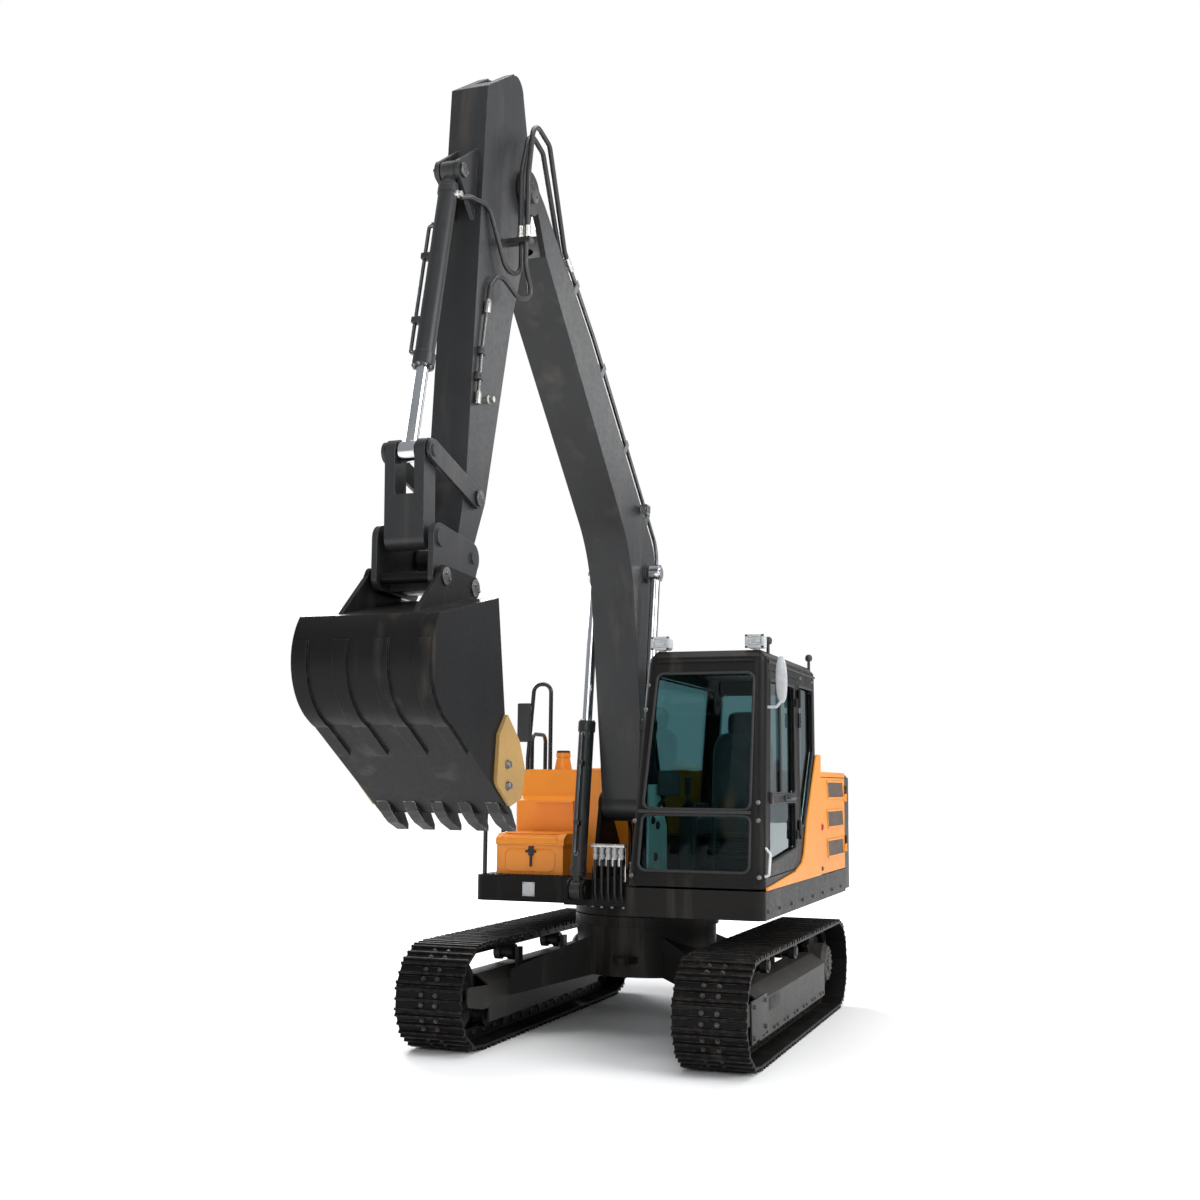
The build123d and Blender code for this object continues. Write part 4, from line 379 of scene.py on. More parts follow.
class Shape:
    """Collects simple forms into one mesh piece."""

    def __init__(self):
        self.mesh = bmesh.new()

    def add_ring(self, centre, across, up, radius, count):
        """Ring of vertices round a centre."""
        ring = []
        for i in range(count):
            a = 2 * pi * i / count
            place = centre + across * (cos(a) * radius) + up * (sin(a) * radius)
            ring.append(self.mesh.verts.new(place))
        return ring

    def bridge(self, first, second):
        """Faces between two rings of equal count."""
        n = len(first)
        for i in range(n):
            self.mesh.faces.new((first[i], first[(i + 1) % n], second[(i + 1) % n], second[i]))

    def lathe(self, start, direction, profile, count=20):
        """Turned form; profile is a list of (distance along the axis, radius)."""
        start, direction = Vector(start), Vector(direction).normalized()
        across = direction.orthogonal().normalized()
        up = direction.cross(across)
        rings = [self.add_ring(start + direction * d, across, up, r, count) for d, r in profile]
        for a, b in zip(rings, rings[1:]):
            self.bridge(a, b)
        self.mesh.faces.new(rings[0][::-1])
        self.mesh.faces.new(rings[-1])
        return self

    def bolt(self, place, direction, radius, height):
        """Hexagon head with a washer under it."""
        self.lathe(place, direction, [(-0.002, radius * 1.35), (height * 0.22, radius * 1.35),
                                      (height * 0.24, radius * 1.02)], 12)
        head = Vector(place) + Vector(direction).normalized() * (height * 0.2)
        self.lathe(head, direction, [(0, radius), (height * 0.62, radius), (height * 0.8, radius * 0.84)], 6)
        return self

    def block(self, low, high, bevel=0.0, segments=2, turn=None):
        """Box between two corners with rounded edges."""
        low, high = Vector(low), Vector(high)
        size = high - low
        matrix = Matrix.Translation((low + high) / 2)
        if turn is not None:
            matrix = matrix @ turn.to_4x4()
        matrix = matrix @ Matrix.Diagonal((*size, 1))
        made = bmesh.ops.create_cube(self.mesh, size=1.0, matrix=matrix)
        if bevel:
            edges = list({e for v in made["verts"] for e in v.link_edges})
            bmesh.ops.bevel(self.mesh, geom=edges, offset=bevel, segments=segments, profile=0.6,
                            affect="EDGES", clamp_overlap=True)
        return self

    def prism(self, outline, axis, low, high, bevel=0.0):
        """Outline in the plane across an axis, pulled from low to high along it."""
        def at(u, v, w):
            return {"x": (w, u, v), "y": (u, w, v), "z": (u, v, w)}[axis]
        first = [self.mesh.verts.new(at(u, v, low)) for u, v in outline]
        second = [self.mesh.verts.new(at(u, v, high)) for u, v in outline]
        made = [self.mesh.faces.new(first[::-1]), self.mesh.faces.new(second)]
        n = len(outline)
        for i in range(n):
            made.append(self.mesh.faces.new((first[i], first[(i + 1) % n], second[(i + 1) % n], second[i])))
        bmesh.ops.recalc_face_normals(self.mesh, faces=made)
        if bevel:
            edges = list({e for face in made for e in face.edges})
            bmesh.ops.bevel(self.mesh, geom=edges, offset=bevel, segments=2, profile=0.6, affect="EDGES",
                            clamp_overlap=True)
        return self

    def tube(self, points, radius, closed=False, count=10):
        """Round bar along a line of points."""
        points = [Vector(p) for p in points]
        n = len(points)
        rings = []
        side = None
        for i, p in enumerate(points):
            before = points[i - 1] if i or closed else p
            after = points[(i + 1) % n] if i < n - 1 or closed else p
            along = (after - before).normalized()
            side = along.orthogonal() if side is None else side - along * side.dot(along)
            side.normalize()
            rings.append(self.add_ring(p, side, along.cross(side), radius, count))
        for a, b in zip(rings, rings[1:]):
            self.bridge(a, b)
        if closed:
            start, end = rings[0], rings[-1]
            shift = min(range(count), key=lambda k: (start[k].co - end[0].co).length)
            self.bridge(end, start[shift:] + start[:shift])
        else:
            self.mesh.faces.new(rings[0][::-1])
            self.mesh.faces.new(rings[-1])
        return self

    def place(self, name, finish, body=None, angle=40):
        """Make the object and let it ride on its body."""
        bmesh.ops.recalc_face_normals(self.mesh, faces=self.mesh.faces)
        for face in self.mesh.faces:
            face.smooth = True
        for edge in self.mesh.edges:
            if len(edge.link_faces) == 2 and edge.calc_face_angle(0) > radians(angle):
                edge.smooth = False
        data = bpy.data.meshes.new(name)
        self.mesh.to_mesh(data)
        self.mesh.free()
        data.materials.append(FINISH[finish])
        obj = bpy.data.objects.new(name, data)
        bpy.context.scene.collection.objects.link(obj)
        if body:
            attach(obj, body)
        return obj


def rounded_loop(points, radius, steps=5):
    """Closed 2-D line with its corners rounded."""
    line = []
    n = len(points)
    for i, corner in enumerate(points):
        p = Vector(corner)
        a = (Vector(points[i - 1]) - p).normalized()
        b = (Vector(points[(i + 1) % n]) - p).normalized()
        half = a.angle(b) / 2
        cut = radius * cos(half) / sin(half)
        middle = p + (a + b).normalized() * (radius / sin(half))
        start, end = p + a * cut - middle, p + b * cut - middle
        for k in range(steps + 1):
            t = k / steps
            spoke = (start * (1 - t) + end * t).normalized() * radius
            line.append(middle + spoke)
    return line


def bent_line(points, bend, steps=6):
    """Open 3-D line with its inner corners rounded."""
    points = [Vector(p) for p in points]
    line = [points[0]]
    for before, p, after in zip(points, points[1:], points[2:]):
        a, b = before - p, after - p
        half = a.angle(b) / 2
        cut = min(bend / tan(half), 0.48 * a.length, 0.48 * b.length)
        radius = cut * tan(half)
        a.normalize()
        b.normalize()
        middle = p + (a + b).normalized() * (radius / sin(half))
        start, end = p + a * cut - middle, p + b * cut - middle
        for k in range(steps + 1):
            line.append(middle + start.slerp(end, k / steps) * radius)
    line.append(points[-1])
    return line


def even_line(points, step):
    """The same line with points no further apart than a step."""
    line = [points[0]]
    for a, b in zip(points, points[1:]):
        count = max(1, round((b - a).length / step))
        for k in range(count):
            line.append(a.lerp(b, (k + 1) / count))
    return line


def arm_place(point, out):
    """A pin point of the arm as a 3-D place, out from the arm's middle plane."""
    return Vector((point[0], ARM_Y + out, point[1]))


def track_point(s, inset):
    """Point on the track's path and the outward direction there, in (x, z)."""
    s = s % TRACK_PATH
    wrap = pi * PLATE_RADIUS
    r = PLATE_RADIUS - inset
    if s < TRACK_RUN:
        return (s - HALF_BASE, AXLE_Z - r), (0, -1)
    if s < TRACK_RUN + wrap:
        a = (s - TRACK_RUN) / PLATE_RADIUS - pi / 2
        return (HALF_BASE + r * cos(a), AXLE_Z + r * sin(a)), (cos(a), sin(a))
    if s < 2 * TRACK_RUN + wrap:
        return (HALF_BASE - (s - TRACK_RUN - wrap), AXLE_Z + r), (0, 1)
    a = (s - 2 * TRACK_RUN - wrap) / PLATE_RADIUS + pi / 2
    return (-HALF_BASE + r * cos(a), AXLE_Z + r * sin(a)), (cos(a), sin(a))


def pad(shape, middle, half, power, turn=0.0, around=44, rows=22):
    """Crowned pad: a rounded block whose faces swell and whose sides pull in between the corners."""
    def swell(value):
        return (1 if value >= 0 else -1) * abs(value) ** power
    tilt = Matrix.Rotation(turn, 3, "Y")
    rings = []
    for i in range(1, rows):
        v = -pi / 2 + pi * i / rows
        ring = []
        for k in range(around):
            u = 2 * pi * k / around
            waist = 1.0 - 0.05 * cos(2 * u) ** 2 * cos(v)
            place = Vector((half[0] * waist * swell(cos(v)) * swell(cos(u)),
                            half[1] * waist * swell(cos(v)) * swell(sin(u)), half[2] * swell(sin(v))))
            ring.append(shape.mesh.verts.new(Vector(middle) + tilt @ place))
        rings.append(ring)
    for a, b in zip(rings, rings[1:]):
        shape.bridge(a, b)
    shape.mesh.faces.new(rings[0][::-1])
    shape.mesh.faces.new(rings[-1])


# Studio

def make_camera():
    """Camera where the photograph was taken from."""
    flat = cos(CAMERA_PITCH)
    ahead = Vector((-cos(CAMERA_YAW) * flat, -sin(CAMERA_YAW) * flat, sin(CAMERA_PITCH)))
    right = ahead.cross(Vector((0, 0, 1))).normalized()
    up = right.cross(ahead)
    across = right * cos(CAMERA_ROLL) + up * sin(CAMERA_ROLL)
    above = up * cos(CAMERA_ROLL) - right * sin(CAMERA_ROLL)
    data = bpy.data.cameras.new("camera")
    data.lens = CAMERA_LENS
    data.sensor_width = SENSOR
    data.clip_end = 500
    obj = bpy.data.objects.new("camera", data)
    turn = Matrix((across, above, -ahead)).transposed().to_4x4()
    obj.matrix_world = Matrix.Translation(CAMERA_PLACE) @ turn
    bpy.context.scene.collection.objects.link(obj)
    bpy.context.scene.camera = obj


def area_light(name, place, target, size, power):
    """Soft box that looks at a target."""
    data = bpy.data.lights.new(name, "AREA")
    data.shape = "RECTANGLE"
    data.size, data.size_y = size
    data.energy = power
    obj = bpy.data.objects.new(name, data)
    obj.location = place
    obj.rotation_euler = (Vector(target) - Vector(place)).to_track_quat("-Z", "Y").to_euler()
    bpy.context.scene.collection.objects.link(obj)


def make_studio():
    """Pale floor, pale surround and soft boxes."""
    world = bpy.data.worlds.new("studio")
    bpy.context.scene.world = world
    world.use_nodes = True
    tree = world.node_tree
    light = tree.nodes["Background"]
    light.inputs["Color"].default_value = (0.93, 0.96, 1.0, 1)
    light.inputs["Strength"].default_value = WORLD_LIGHT
    seen = tree.nodes.new("ShaderNodeBackground")
    seen.inputs["Color"].default_value = (1, 1, 1, 1)
    path = tree.nodes.new("ShaderNodeLightPath")
    mix = tree.nodes.new("ShaderNodeMixShader")
    tree.links.new(path.outputs["Is Camera Ray"], mix.inputs["Fac"])
    tree.links.new(light.outputs[0], mix.inputs[1])
    tree.links.new(seen.outputs[0], mix.inputs[2])
    tree.links.new(mix.outputs[0], tree.nodes["World Output"].inputs["Surface"])
    for name, row in LIGHTS.items():
        area_light(name, *row)
    floor = Shape().lathe((0, 0, -0.012), (0, 0, 1), [(0, FLOOR_RADIUS), (0.010, FLOOR_RADIUS)], 64)
    f = Finish("floor_pale")
    tone = f.mix(f.spread(f.noise(0.4, 3), 0.3, 0.7), (0.86, 0.86, 0.86), (0.88, 0.88, 0.88))
    reach = f.node("VectorMath", {0: f.place}, operation="LENGTH")["Value"]
    glow = f.spread(reach, GLOW_START, GLOW_END, 0.0, GLOW)
    FINISH["floor_pale"] = f.finish(Base_Color=tone, Roughness=0.6, Emission_Color=(1, 1, 1, 1),
                                    Emission_Strength=glow)
    floor.place("floor", "floor_pale")
    bpy.context.scene.view_settings.view_transform = "Standard"


# Undercarriage pieces

def dress_tracks():
    """Shoe bolts, link pins and hub fasteners on both tracks."""
    for name, side in (("left", 1), ("right", -1)):
        y = side * TRACK_Y
        bolts = Shape()
        pins = Shape()
        for i in range(SHOES):
            for share in (0.305, 0.695):
                (x, z), (nx, nz) = track_point((i + share) * SHOE_PITCH, 0)
                for out in (-0.0525, 0.0525):
                    bolts.bolt((x - nx * 0.004, y + out, z - nz * 0.004), (nx, 0, nz), 0.013, 0.013)
            (x, z), _ = track_point(i * SHOE_PITCH, SHOE_PLATE + 0.040)
            for out in (-1, 1):
                pins.lathe((x, y + out * 0.073, z), (0, out, 0),
                           [(0, 0.024), (0.006, 0.024), (0.009, 0.018)], 12)
        bolts.place("shoe_bolts_" + name, "dark_bolt", "undercarriage")
        pins.place("link_pins_" + name, "roller_steel", "undercarriage")
        hubs = Shape()
        for k in range(HUB_BOLTS):
            a = 2 * pi * k / HUB_BOLTS
            hubs.bolt((-HALF_BASE + HUB_RING * cos(a), y + side * 0.152, AXLE_Z + HUB_RING * sin(a)),
                      (0, side, 0), 0.009, 0.012)
        hubs.place("drive_bolts_" + name, "bolt_steel", "undercarriage")


def dress_frames():
    """Idler guards, black plates that paint the shade inside the access holes, and bolts on the track frames,
    and bolts round the slew ring.
    """
    for name, side in (("left", 1), ("right", -1)):
        face = side * FRAME_FACE
        guard = Shape()
        guard.prism([(1.020, 0.195), (1.440, 0.160), (1.460, 0.445), (1.016, 0.452)], "y",
                    min(face, face + side * 0.014), max(face, face + side * 0.014), 0.004)
        guard.place("idler_guard_" + name, "frame_grey", "undercarriage")
        # Painted shade: a thin black plate flush on the frame stands in for the shade inside the access hole
        Shape().block((0.560, face - 0.004, 0.310), (0.900, face + 0.002, 0.400), 0.002).place(
            "access_hole_shade_" + name, "rubber", "undercarriage")
        bolts = Shape()
        for x, z in ((1.07, 0.235), (1.07, 0.410), (1.40, 0.205), (1.40, 0.405)):
            bolts.bolt((x, face + side * 0.014, z), (0, side, 0), 0.014, 0.016)
        for i in range(ROLLERS):
            x = (i - (ROLLERS - 1) // 2) * ROLLER_PITCH
            for out in (-0.055, 0.055):
                bolts.bolt((x + out, face, 0.180), (0, side, 0), 0.010, 0.012)
        bolts.place("frame_bolts_" + name, "dark_bolt", "undercarriage")
    ring = Shape()
    seat = Shape()
    for k in range(RING_BOLTS):
        a = 2 * pi * k / RING_BOLTS
        ring.bolt((0.585 * cos(a), 0.585 * sin(a), 0.956), (0, 0, -1), 0.015, 0.022)
        seat.bolt((0.515 * cos(a), 0.515 * sin(a), 0.871), (0, 0, 1), 0.014, 0.020)
    ring.place("ring_bolts_upper", "bolt_steel", "house")
    seat.place("ring_bolts_lower", "dark_bolt", "undercarriage")


# Cab pieces

def wall_lean(z):
    """How far up the cab a height is, from floor to roof."""
    return (z - CAB_FLOOR) / CAB_RISE


def front_point(y, z, out=0.0):
    """Point on the cab's front face."""
    return Vector((CAB_FRONT - FRONT_LEAN * wall_lean(z) + out, y, z))


def left_point(x, z, out=0.0):
    """Point on the cab's left face."""
    return Vector((x, CAB_LEFT - LEFT_LEAN * wall_lean(z) + out, z))


def right_point(x, z, out=0.0):
    """Point on the cab's right face."""
    return Vector((x, CAB_RIGHT + RIGHT_LEAN * wall_lean(z) - out, z))


def rear_point(y, z, out=0.0):
    """Point on the cab's rear face."""
    return Vector((CAB_REAR - out, y, z))


DOOR_PANES = (((0.267, 1.800), (1.136, 1.800), (1.080, 2.600), (0.267, 2.600)),
              ((0.267, 1.400), (1.162, 1.320), (1.140, 1.744), (0.267, 1.744)))
CAB_PANES = (
    (front_point, ((0.374, 1.692), (1.142, 1.692), (1.158, 2.640), (0.458, 2.640)), 0.05),
    (front_point, ((0.350, 1.270), (1.140, 1.270), (1.144, 1.655), (0.372, 1.655)), 0.05),
    (right_point, ((-0.430, 1.480), (1.180, 1.480), (1.100, 2.630), (-0.430, 2.630)), 0.06),
    (rear_point, ((0.420, 1.700), (1.120, 1.700), (1.120, 2.600), (0.420, 2.600)), 0.06),
    (left_point, ((0.130, 1.560), (0.130, 2.620), (-0.430, 2.620), (-0.430, 2.140), (-0.040, 1.560)), 0.04),
)


def dress_glazing():
    """Rubber seals round every pane, and the bars of the front and door panes."""
    seals = Shape()
    for face, corners, radius in CAB_PANES:
        loop = [face(u, v, -0.004) for u, v in rounded_loop(corners, radius)]
        seals.tube(loop, 0.011, True)
    seals.place("window_seals", "rubber", "house")
    door = Shape()
    for corners in DOOR_PANES:
        door.tube([left_point(u, v, -0.004) for u, v in rounded_loop(corners, 0.04)], 0.010, True)
    door.place("door_seals", "rubber", "cab_door")
    Shape().tube([front_point(y, 1.674, 0.004) for y in (0.345, 0.6, 0.9, 1.150)], 0.013).place(
        "front_glass_bar", "black_plastic", "house")
    Shape().tube([left_point(x, z, -0.018) for x, z in ((0.70, 1.815), (0.70, 2.590))], 0.012).place(
        "door_glass_bar", "black_plastic", "cab_door")


def dress_cab_shell():
    """Bolts, roof gutter, lamps, markers, door latches, grab bracket, hinge caps and mirrors."""
    bolts = Shape()
    for y, z in ((1.198, 1.745), (1.200, 1.624), (0.318, 1.608), (0.305, 1.235), (1.212, 1.245),
                 (0.392, 2.560), (0.378, 2.386)):
        bolts.bolt(front_point(y, z), (1, 0, 0.07), 0.012, 0.013)
    for x in (-0.40, 0.05):
        bolts.bolt(left_point(x, 2.680), (0, 1, 0), 0.010, 0.010)
    for x in (-0.40, 0.1, 0.6, 1.1):
        bolts.bolt(right_point(x, 1.330), (0, -1, 0), 0.011, 0.012)
    bolts.place("cab_bolts", "bolt_steel", "house")
    gutter = Shape()
    gutter.tube([front_point(y, 2.722, 0.003) for y in (0.46, 0.8, 1.16)], 0.010)
    gutter.tube([left_point(x, 2.722, 0.002) for x in (-0.49, 0.3, 1.14)], 0.010)
    gutter.tube([right_point(x, 2.722, 0.002) for x in (-0.49, 0.3, 1.13)], 0.010)
    gutter.place("roof_gutter", "cab_dark", "house")
    bezel = Shape()
    lens = Shape()
    for y in (0.460, 1.150):
        for low, high in (((1.174, y - 0.068, 2.813), (1.186, y - 0.046, 2.909)),
                          ((1.174, y + 0.046, 2.813), (1.186, y + 0.068, 2.909)),
                          ((1.174, y - 0.068, 2.813), (1.186, y + 0.068, 2.830)),
                          ((1.174, y - 0.068, 2.892), (1.186, y + 0.068, 2.909))):
            bezel.block(low, high, 0.003)
        lens.block((1.178, y - 0.047, 2.829), (1.184, y + 0.047, 2.893), 0.003)
    bezel.place("lamp_bezels", "mirror_shell", "house")
    lens.place("lamp_lenses", "lamp_lens", "house")
    beacons = Shape()
    for x in (0.956, -0.500):
        beacons.lathe((x, 1.195, 2.740), (0, 0, 1), [
            (0, 0.012), (0.118, 0.012), (0.120, 0.024), (0.142, 0.030), (0.162, 0.026), (0.172, 0.012)], 16)
    beacons.place("roof_markers", "black_plastic", "house")
    latch = Shape()
    latch.block((0.300, 1.236, 1.752), (0.640, 1.251, 1.792), 0.006)
    latch.tube(bent_line([(0.360, 1.248, 1.772), (0.360, 1.268, 1.772), (0.580, 1.268, 1.772),
                          (0.580, 1.248, 1.772)], 0.012), 0.008)
    latch.block((1.085, 1.240, 1.735), (1.135, 1.262, 1.815), 0.006)
    latch.place("door_latches", "black_plastic", "cab_door")
    grab = Shape()
    grab.tube(bent_line([(1.285, 1.240, 1.250), (1.285, 1.268, 1.255), (1.262, 1.274, 1.400),
                         (1.258, 1.240, 1.440)], 0.03), 0.010)
    grab.place("grab_bracket", "white_plastic", "house")
    hinge = Shape()
    for z in (1.55, 2.35):
        hinge.lathe((0.199, 1.259, z - 0.055), (0, 0, 1), [(0, 0.0135), (0.110, 0.0135)], 14)
    hinge.place("door_hinge_caps", "rail_black", "house")
    shells = Shape()
    shells.block((-0.142, -1.181, 2.199), (-0.1065, -1.069, 2.521), 0.012, 3)
    shells.block((-0.156, -1.120, 2.340), (-0.138, -1.090, 2.380), 0.003)
    pad(shells, (1.158, 1.335, 2.590), (0.026, 0.043, 0.164), 0.85, 0.06)
    shells.tube(bent_line([(1.160, 1.236, 2.400), (1.160, 1.300, 2.400), (1.158, 1.335, 2.450)], 0.03), 0.011)
    mirrors = shells.place("mirror_shells", "mirror_shell", "house")
    mirrors.data.materials.append(FINISH["black_plastic"])
    for face in mirrors.data.polygons:
        face.material_index = 1 if face.center.y < 0 else 0
    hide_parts("mirrors")
    glass = Shape()
    glass.block((-0.1445, -1.168, 2.215), (-0.1415, -1.082, 2.505), 0.001)
    pad(glass, (1.148, 1.335, 2.592), (0.022, 0.037, 0.148), 0.85, 0.06)
    glass.place("mirror_glasses", "mirror_glass", "house")


def dress_interior():
    """Seat with crowned pads and base, grips, screen, side panel, knobs, floor mat and roof liner."""
    pads = Shape()
    pad(pads, (0.265, SEAT_Y, 1.566), (0.262, 0.248, 0.074), 0.42)
    pad(pads, (-0.045, SEAT_Y, 1.920), (0.085, 0.240, 0.350), 0.42, -0.13)
    pad(pads, (-0.085, SEAT_Y, 2.330), (0.055, 0.125, 0.100), 0.50, -0.10)
    seat = pads.place("seat_pads", "seat_cloth", "house", 60)
    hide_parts("seat")
    base = Shape()
    base.block((0.060, SEAT_Y - 0.21, 1.216), (0.420, SEAT_Y + 0.21, 1.300), 0.012)
    for k in range(4):
        z = 1.300 + 0.045 * k
        inset = 0.008 * k
        base.block((0.080 + inset, SEAT_Y - 0.18, z), (0.400 - inset, SEAT_Y + 0.18, z + 0.045), 0.018)
    base.block((0.030, SEAT_Y - 0.235, 1.478), (0.500, SEAT_Y + 0.235, 1.508), 0.010)
    for out in (-0.085, 0.085):
        base.tube([(-0.078, SEAT_Y + out, 2.200), (-0.085, SEAT_Y + out, 2.300)], 0.008)
    base.place("seat_base", "black_plastic", "house")
    grips = Shape()
    for y in (0.462, 1.078):
        grips.lathe((0.460, y, 1.690), (0, 0, 1), [
            (0, 0.050), (0.014, 0.046), (0.020, 0.036), (0.034, 0.040), (0.042, 0.028), (0.058, 0.030),
            (0.066, 0.018)], 18)
        grips.lathe((0.460, y, 1.790), (0.06, 0, 1), [
            (0, 0.022), (0.02, 0.026), (0.07, 0.024), (0.10, 0.030), (0.128, 0.026), (0.134, 0.012)], 16)
        grips.block((0.020, y - 0.050, 1.690), (0.380, y + 0.050, 1.722), 0.014, 3)
    grips.place("control_grips", "rubber", "house")
    screen = Shape()
    screen.block((0.985, 0.400, 1.780), (1.030, 0.560, 1.960), 0.010, 3, Matrix.Rotation(0.35, 3, "Z"))
    screen.tube([(1.010, 0.400, 1.700), (1.010, 0.470, 1.800)], 0.014)
    screen.place("screen_body", "black_plastic", "house")
    panel = Shape()
    panel.prism([(0.760, 1.230), (1.215, 1.230), (1.190, 1.860), (0.990, 1.860), (0.760, 1.560)], "y",
                0.372, 0.392, 0.008)
    panel.place("side_panel", "panel_pale", "house")
    knobs = Shape()
    for x, z in ((1.120, 1.610), (1.010, 1.570), (1.060, 1.350)):
        knobs.lathe((x, 0.390, z), (0, 1, 0), [(0, 0.030), (0.012, 0.030), (0.018, 0.022)], 16)
    knobs.place("panel_knobs", "black_plastic", "house")
    mat = Shape()
    mat.block((0.480, 0.440, 1.2165), (1.200, 1.130, 1.226), 0.003)
    for k in range(22):
        y = 0.460 + 0.0305 * k
        mat.block((0.500, y, 1.224), (1.180, y + 0.012, 1.231), 0.002, 1)
    mat.place("floor_mat", "rubber", "house")
    Shape().block((-0.490, 0.480, 2.700), (0.150, 1.150, 2.712), 0.004).place(
        "roof_liner", "black_plastic", "house")


# House pieces

def dress_panels():
    """Vent meshes, locks, hood ribs, toolbox edges, blank plate, step tread, filler cap and bolts."""
    for name, side, x0, x1, heights, tall in (("left", 1, -1.690, -0.960, (1.290, 1.530, 1.770), 0.120),
                                              ("right", -1, -1.640, -0.960, (1.330, 1.690), 0.140)):
        mesh = Shape()
        lean = 0.35 * tall
        for z in heights:
            ends = sorted((side * 1.2455, side * 1.2490))
            mesh.prism([(x0, z), (x1 - lean, z), (x1, z + tall), (x0 + lean, z + tall)], "y", *ends)
        mesh.place("vent_mesh_" + name, "grille_brown", name + "_side_door")
        latch = Shape()
        y = side * HOUSE_SIDE
        latch.block((-0.760, y - 0.004, 1.500), (-0.700, y + 0.004, 1.560), 0.003)
        latch.lathe((-0.730, y, 1.530), (0, side, 0), [(0, 0.022), (0.012, 0.022), (0.016, 0.016)], 18)
        latch.place("door_lock_" + name, "red_plastic" if side > 0 else "black_plastic", name + "_side_door")
        Shape().block((-0.755, y - 0.010, 1.185), (-0.690, y + 0.010, 1.215), 0.004).place(
            "door_pull_" + name, "black_plastic", name + "_side_door")
    hood = Shape()
    for y in (0.05, 0.90):
        hood.block((-0.700, y - 0.05, 1.974), (-0.640, y + 0.05, 1.986), 0.004)
    for k in range(9):
        x = -1.60 + 0.085 * k
        hood.block((x, 0.15, 1.974), (x + 0.045, 0.85, 1.983), 0.004)
    hood.place("hood_ribs", "panel_yellow", "engine_hood")
    lids = Shape()
    loop = rounded_loop(((0.350, -1.085), (0.350, -0.600), (0.045, -0.600), (0.045, -1.085)), 0.04)
    lids.tube([(x, y, 1.470) for x, y in loop], 0.006, True)
    face = rounded_loop(((-1.075, 1.395), (-0.610, 1.395), (-0.610, 1.455), (-1.075, 1.455)), 0.02)
    lids.tube([(0.407, y, z) for y, z in face], 0.0035, True, 8)
    lids.place("lid_emboss", "orange_paint", "toolbox_lid")
    front = Shape()
    loop = rounded_loop(((-1.050, 1.180), (-0.630, 1.180), (-0.630, 1.350), (-1.050, 1.350)), 0.05)
    front.tube([(0.400, y, z) for y, z in loop], 0.005, True, 8)
    front.place("toolbox_emboss", "orange_paint", "house")
    latch = Shape()
    latch.block((0.398, -0.850, 1.300), (0.414, -0.806, 1.372), 0.004)
    latch.block((0.400, -0.836, 1.215), (0.418, -0.820, 1.310), 0.004)
    latch.block((0.404, -0.872, 1.322), (0.420, -0.784, 1.342), 0.004)
    latch.place("toolbox_latch", "black_plastic", "house")
    Shape().block((0.5295, -0.842, 0.998), (0.5335, -0.742, 1.104), 0.002).place(
        "blank_plate", "white_plastic", "house")
    rivets = Shape()
    for y in (-0.832, -0.752):
        for z in (1.008, 1.094):
            rivets.lathe((0.533, y, z), (1, 0, 0), [(0, 0.005), (0.002, 0.004)], 10)
    rivets.place("plate_rivets", "bolt_steel", "house")
    tread = Shape()
    tread.block((0.415, -1.160, 1.1498), (0.522, -0.480, 1.155), 0.001)
    for i in range(20):
        for k in range(4):
            turn = Matrix.Rotation(0.7 if (i + k) % 2 else -0.7, 3, "Z")
            x, y = 0.430 + 0.026 * k, -1.140 + 0.034 * i
            tread.block((x - 0.011, y - 0.003, 1.154), (x + 0.011, y + 0.003, 1.158), 0.001, 1, turn)
    tread.place("step_tread", "deck_dark", "house")
    cap = Shape()
    cap.lathe((-0.305, -0.840, 2.105), (0, 0, 1), [(0, 0.056), (0.022, 0.056), (0.028, 0.050)], 28)
    for k in range(8):
        a = pi * k / 4
        x, y = -0.305 + 0.052 * cos(a), -0.840 + 0.052 * sin(a)
        cap.block((x - 0.006, y - 0.006, 2.104), (x + 0.006, y + 0.006, 2.130), 0.002)
    cap.place("filler_cap", "black_plastic", "house")
    deck = Shape()
    for x in (-1.55, -1.15, -0.75, -0.35, 0.05, 0.45, 0.85, 1.20):
        deck.bolt((x, HOUSE_SIDE, 1.010), (0, 1, 0), 0.011, 0.012)
    for x in (-1.55, -1.15, -0.75, -0.35, 0.05, 0.40):
        deck.bolt((x, -HOUSE_SIDE, 1.010), (0, -1, 0), 0.011, 0.012)
    deck.place("deck_bolts", "dark_bolt", "house")


def dress_hose_bank():
    """Row of hose fittings in front of the boom foot, with short hoses down to the deck."""
    fittings = Shape()
    hoses = Shape()
    bank = Shape()
    for k in range(5):
        y = -0.190 + 0.052 * k
        fittings.lathe((0.690, y, 1.290), (0, 0, 1), [
            (0, 0.013), (0.020, 0.013), (0.022, 0.019), (0.050, 0.019), (0.052, 0.014), (0.085, 0.014),
            (0.087, 0.020), (0.110, 0.020)], 12)
        line = bent_line([(0.690, y, 1.300), (0.692, y, 1.060), (0.650, y, 0.985), (0.560, y, 0.985)], 0.06)
        hoses.tube(line, 0.014)
    bank.block((0.655, -0.222, 1.392), (0.725, 0.050, 1.416), 0.005)
    bank.block((0.664, -0.215, 1.250), (0.668, 0.043, 1.400), 0.001)
    bank.block((0.652, -0.215, 1.140), (0.668, -0.195, 1.400), 0.003)
    bank.block((0.652, 0.023, 1.140), (0.668, 0.043, 1.400), 0.003)
    fittings.place("bank_fittings", "white_plastic", "house")
    bank.place("bank_bracket", "fitting_zinc", "house")
    hoses.place("bank_hoses", "hose_rubber", "house")


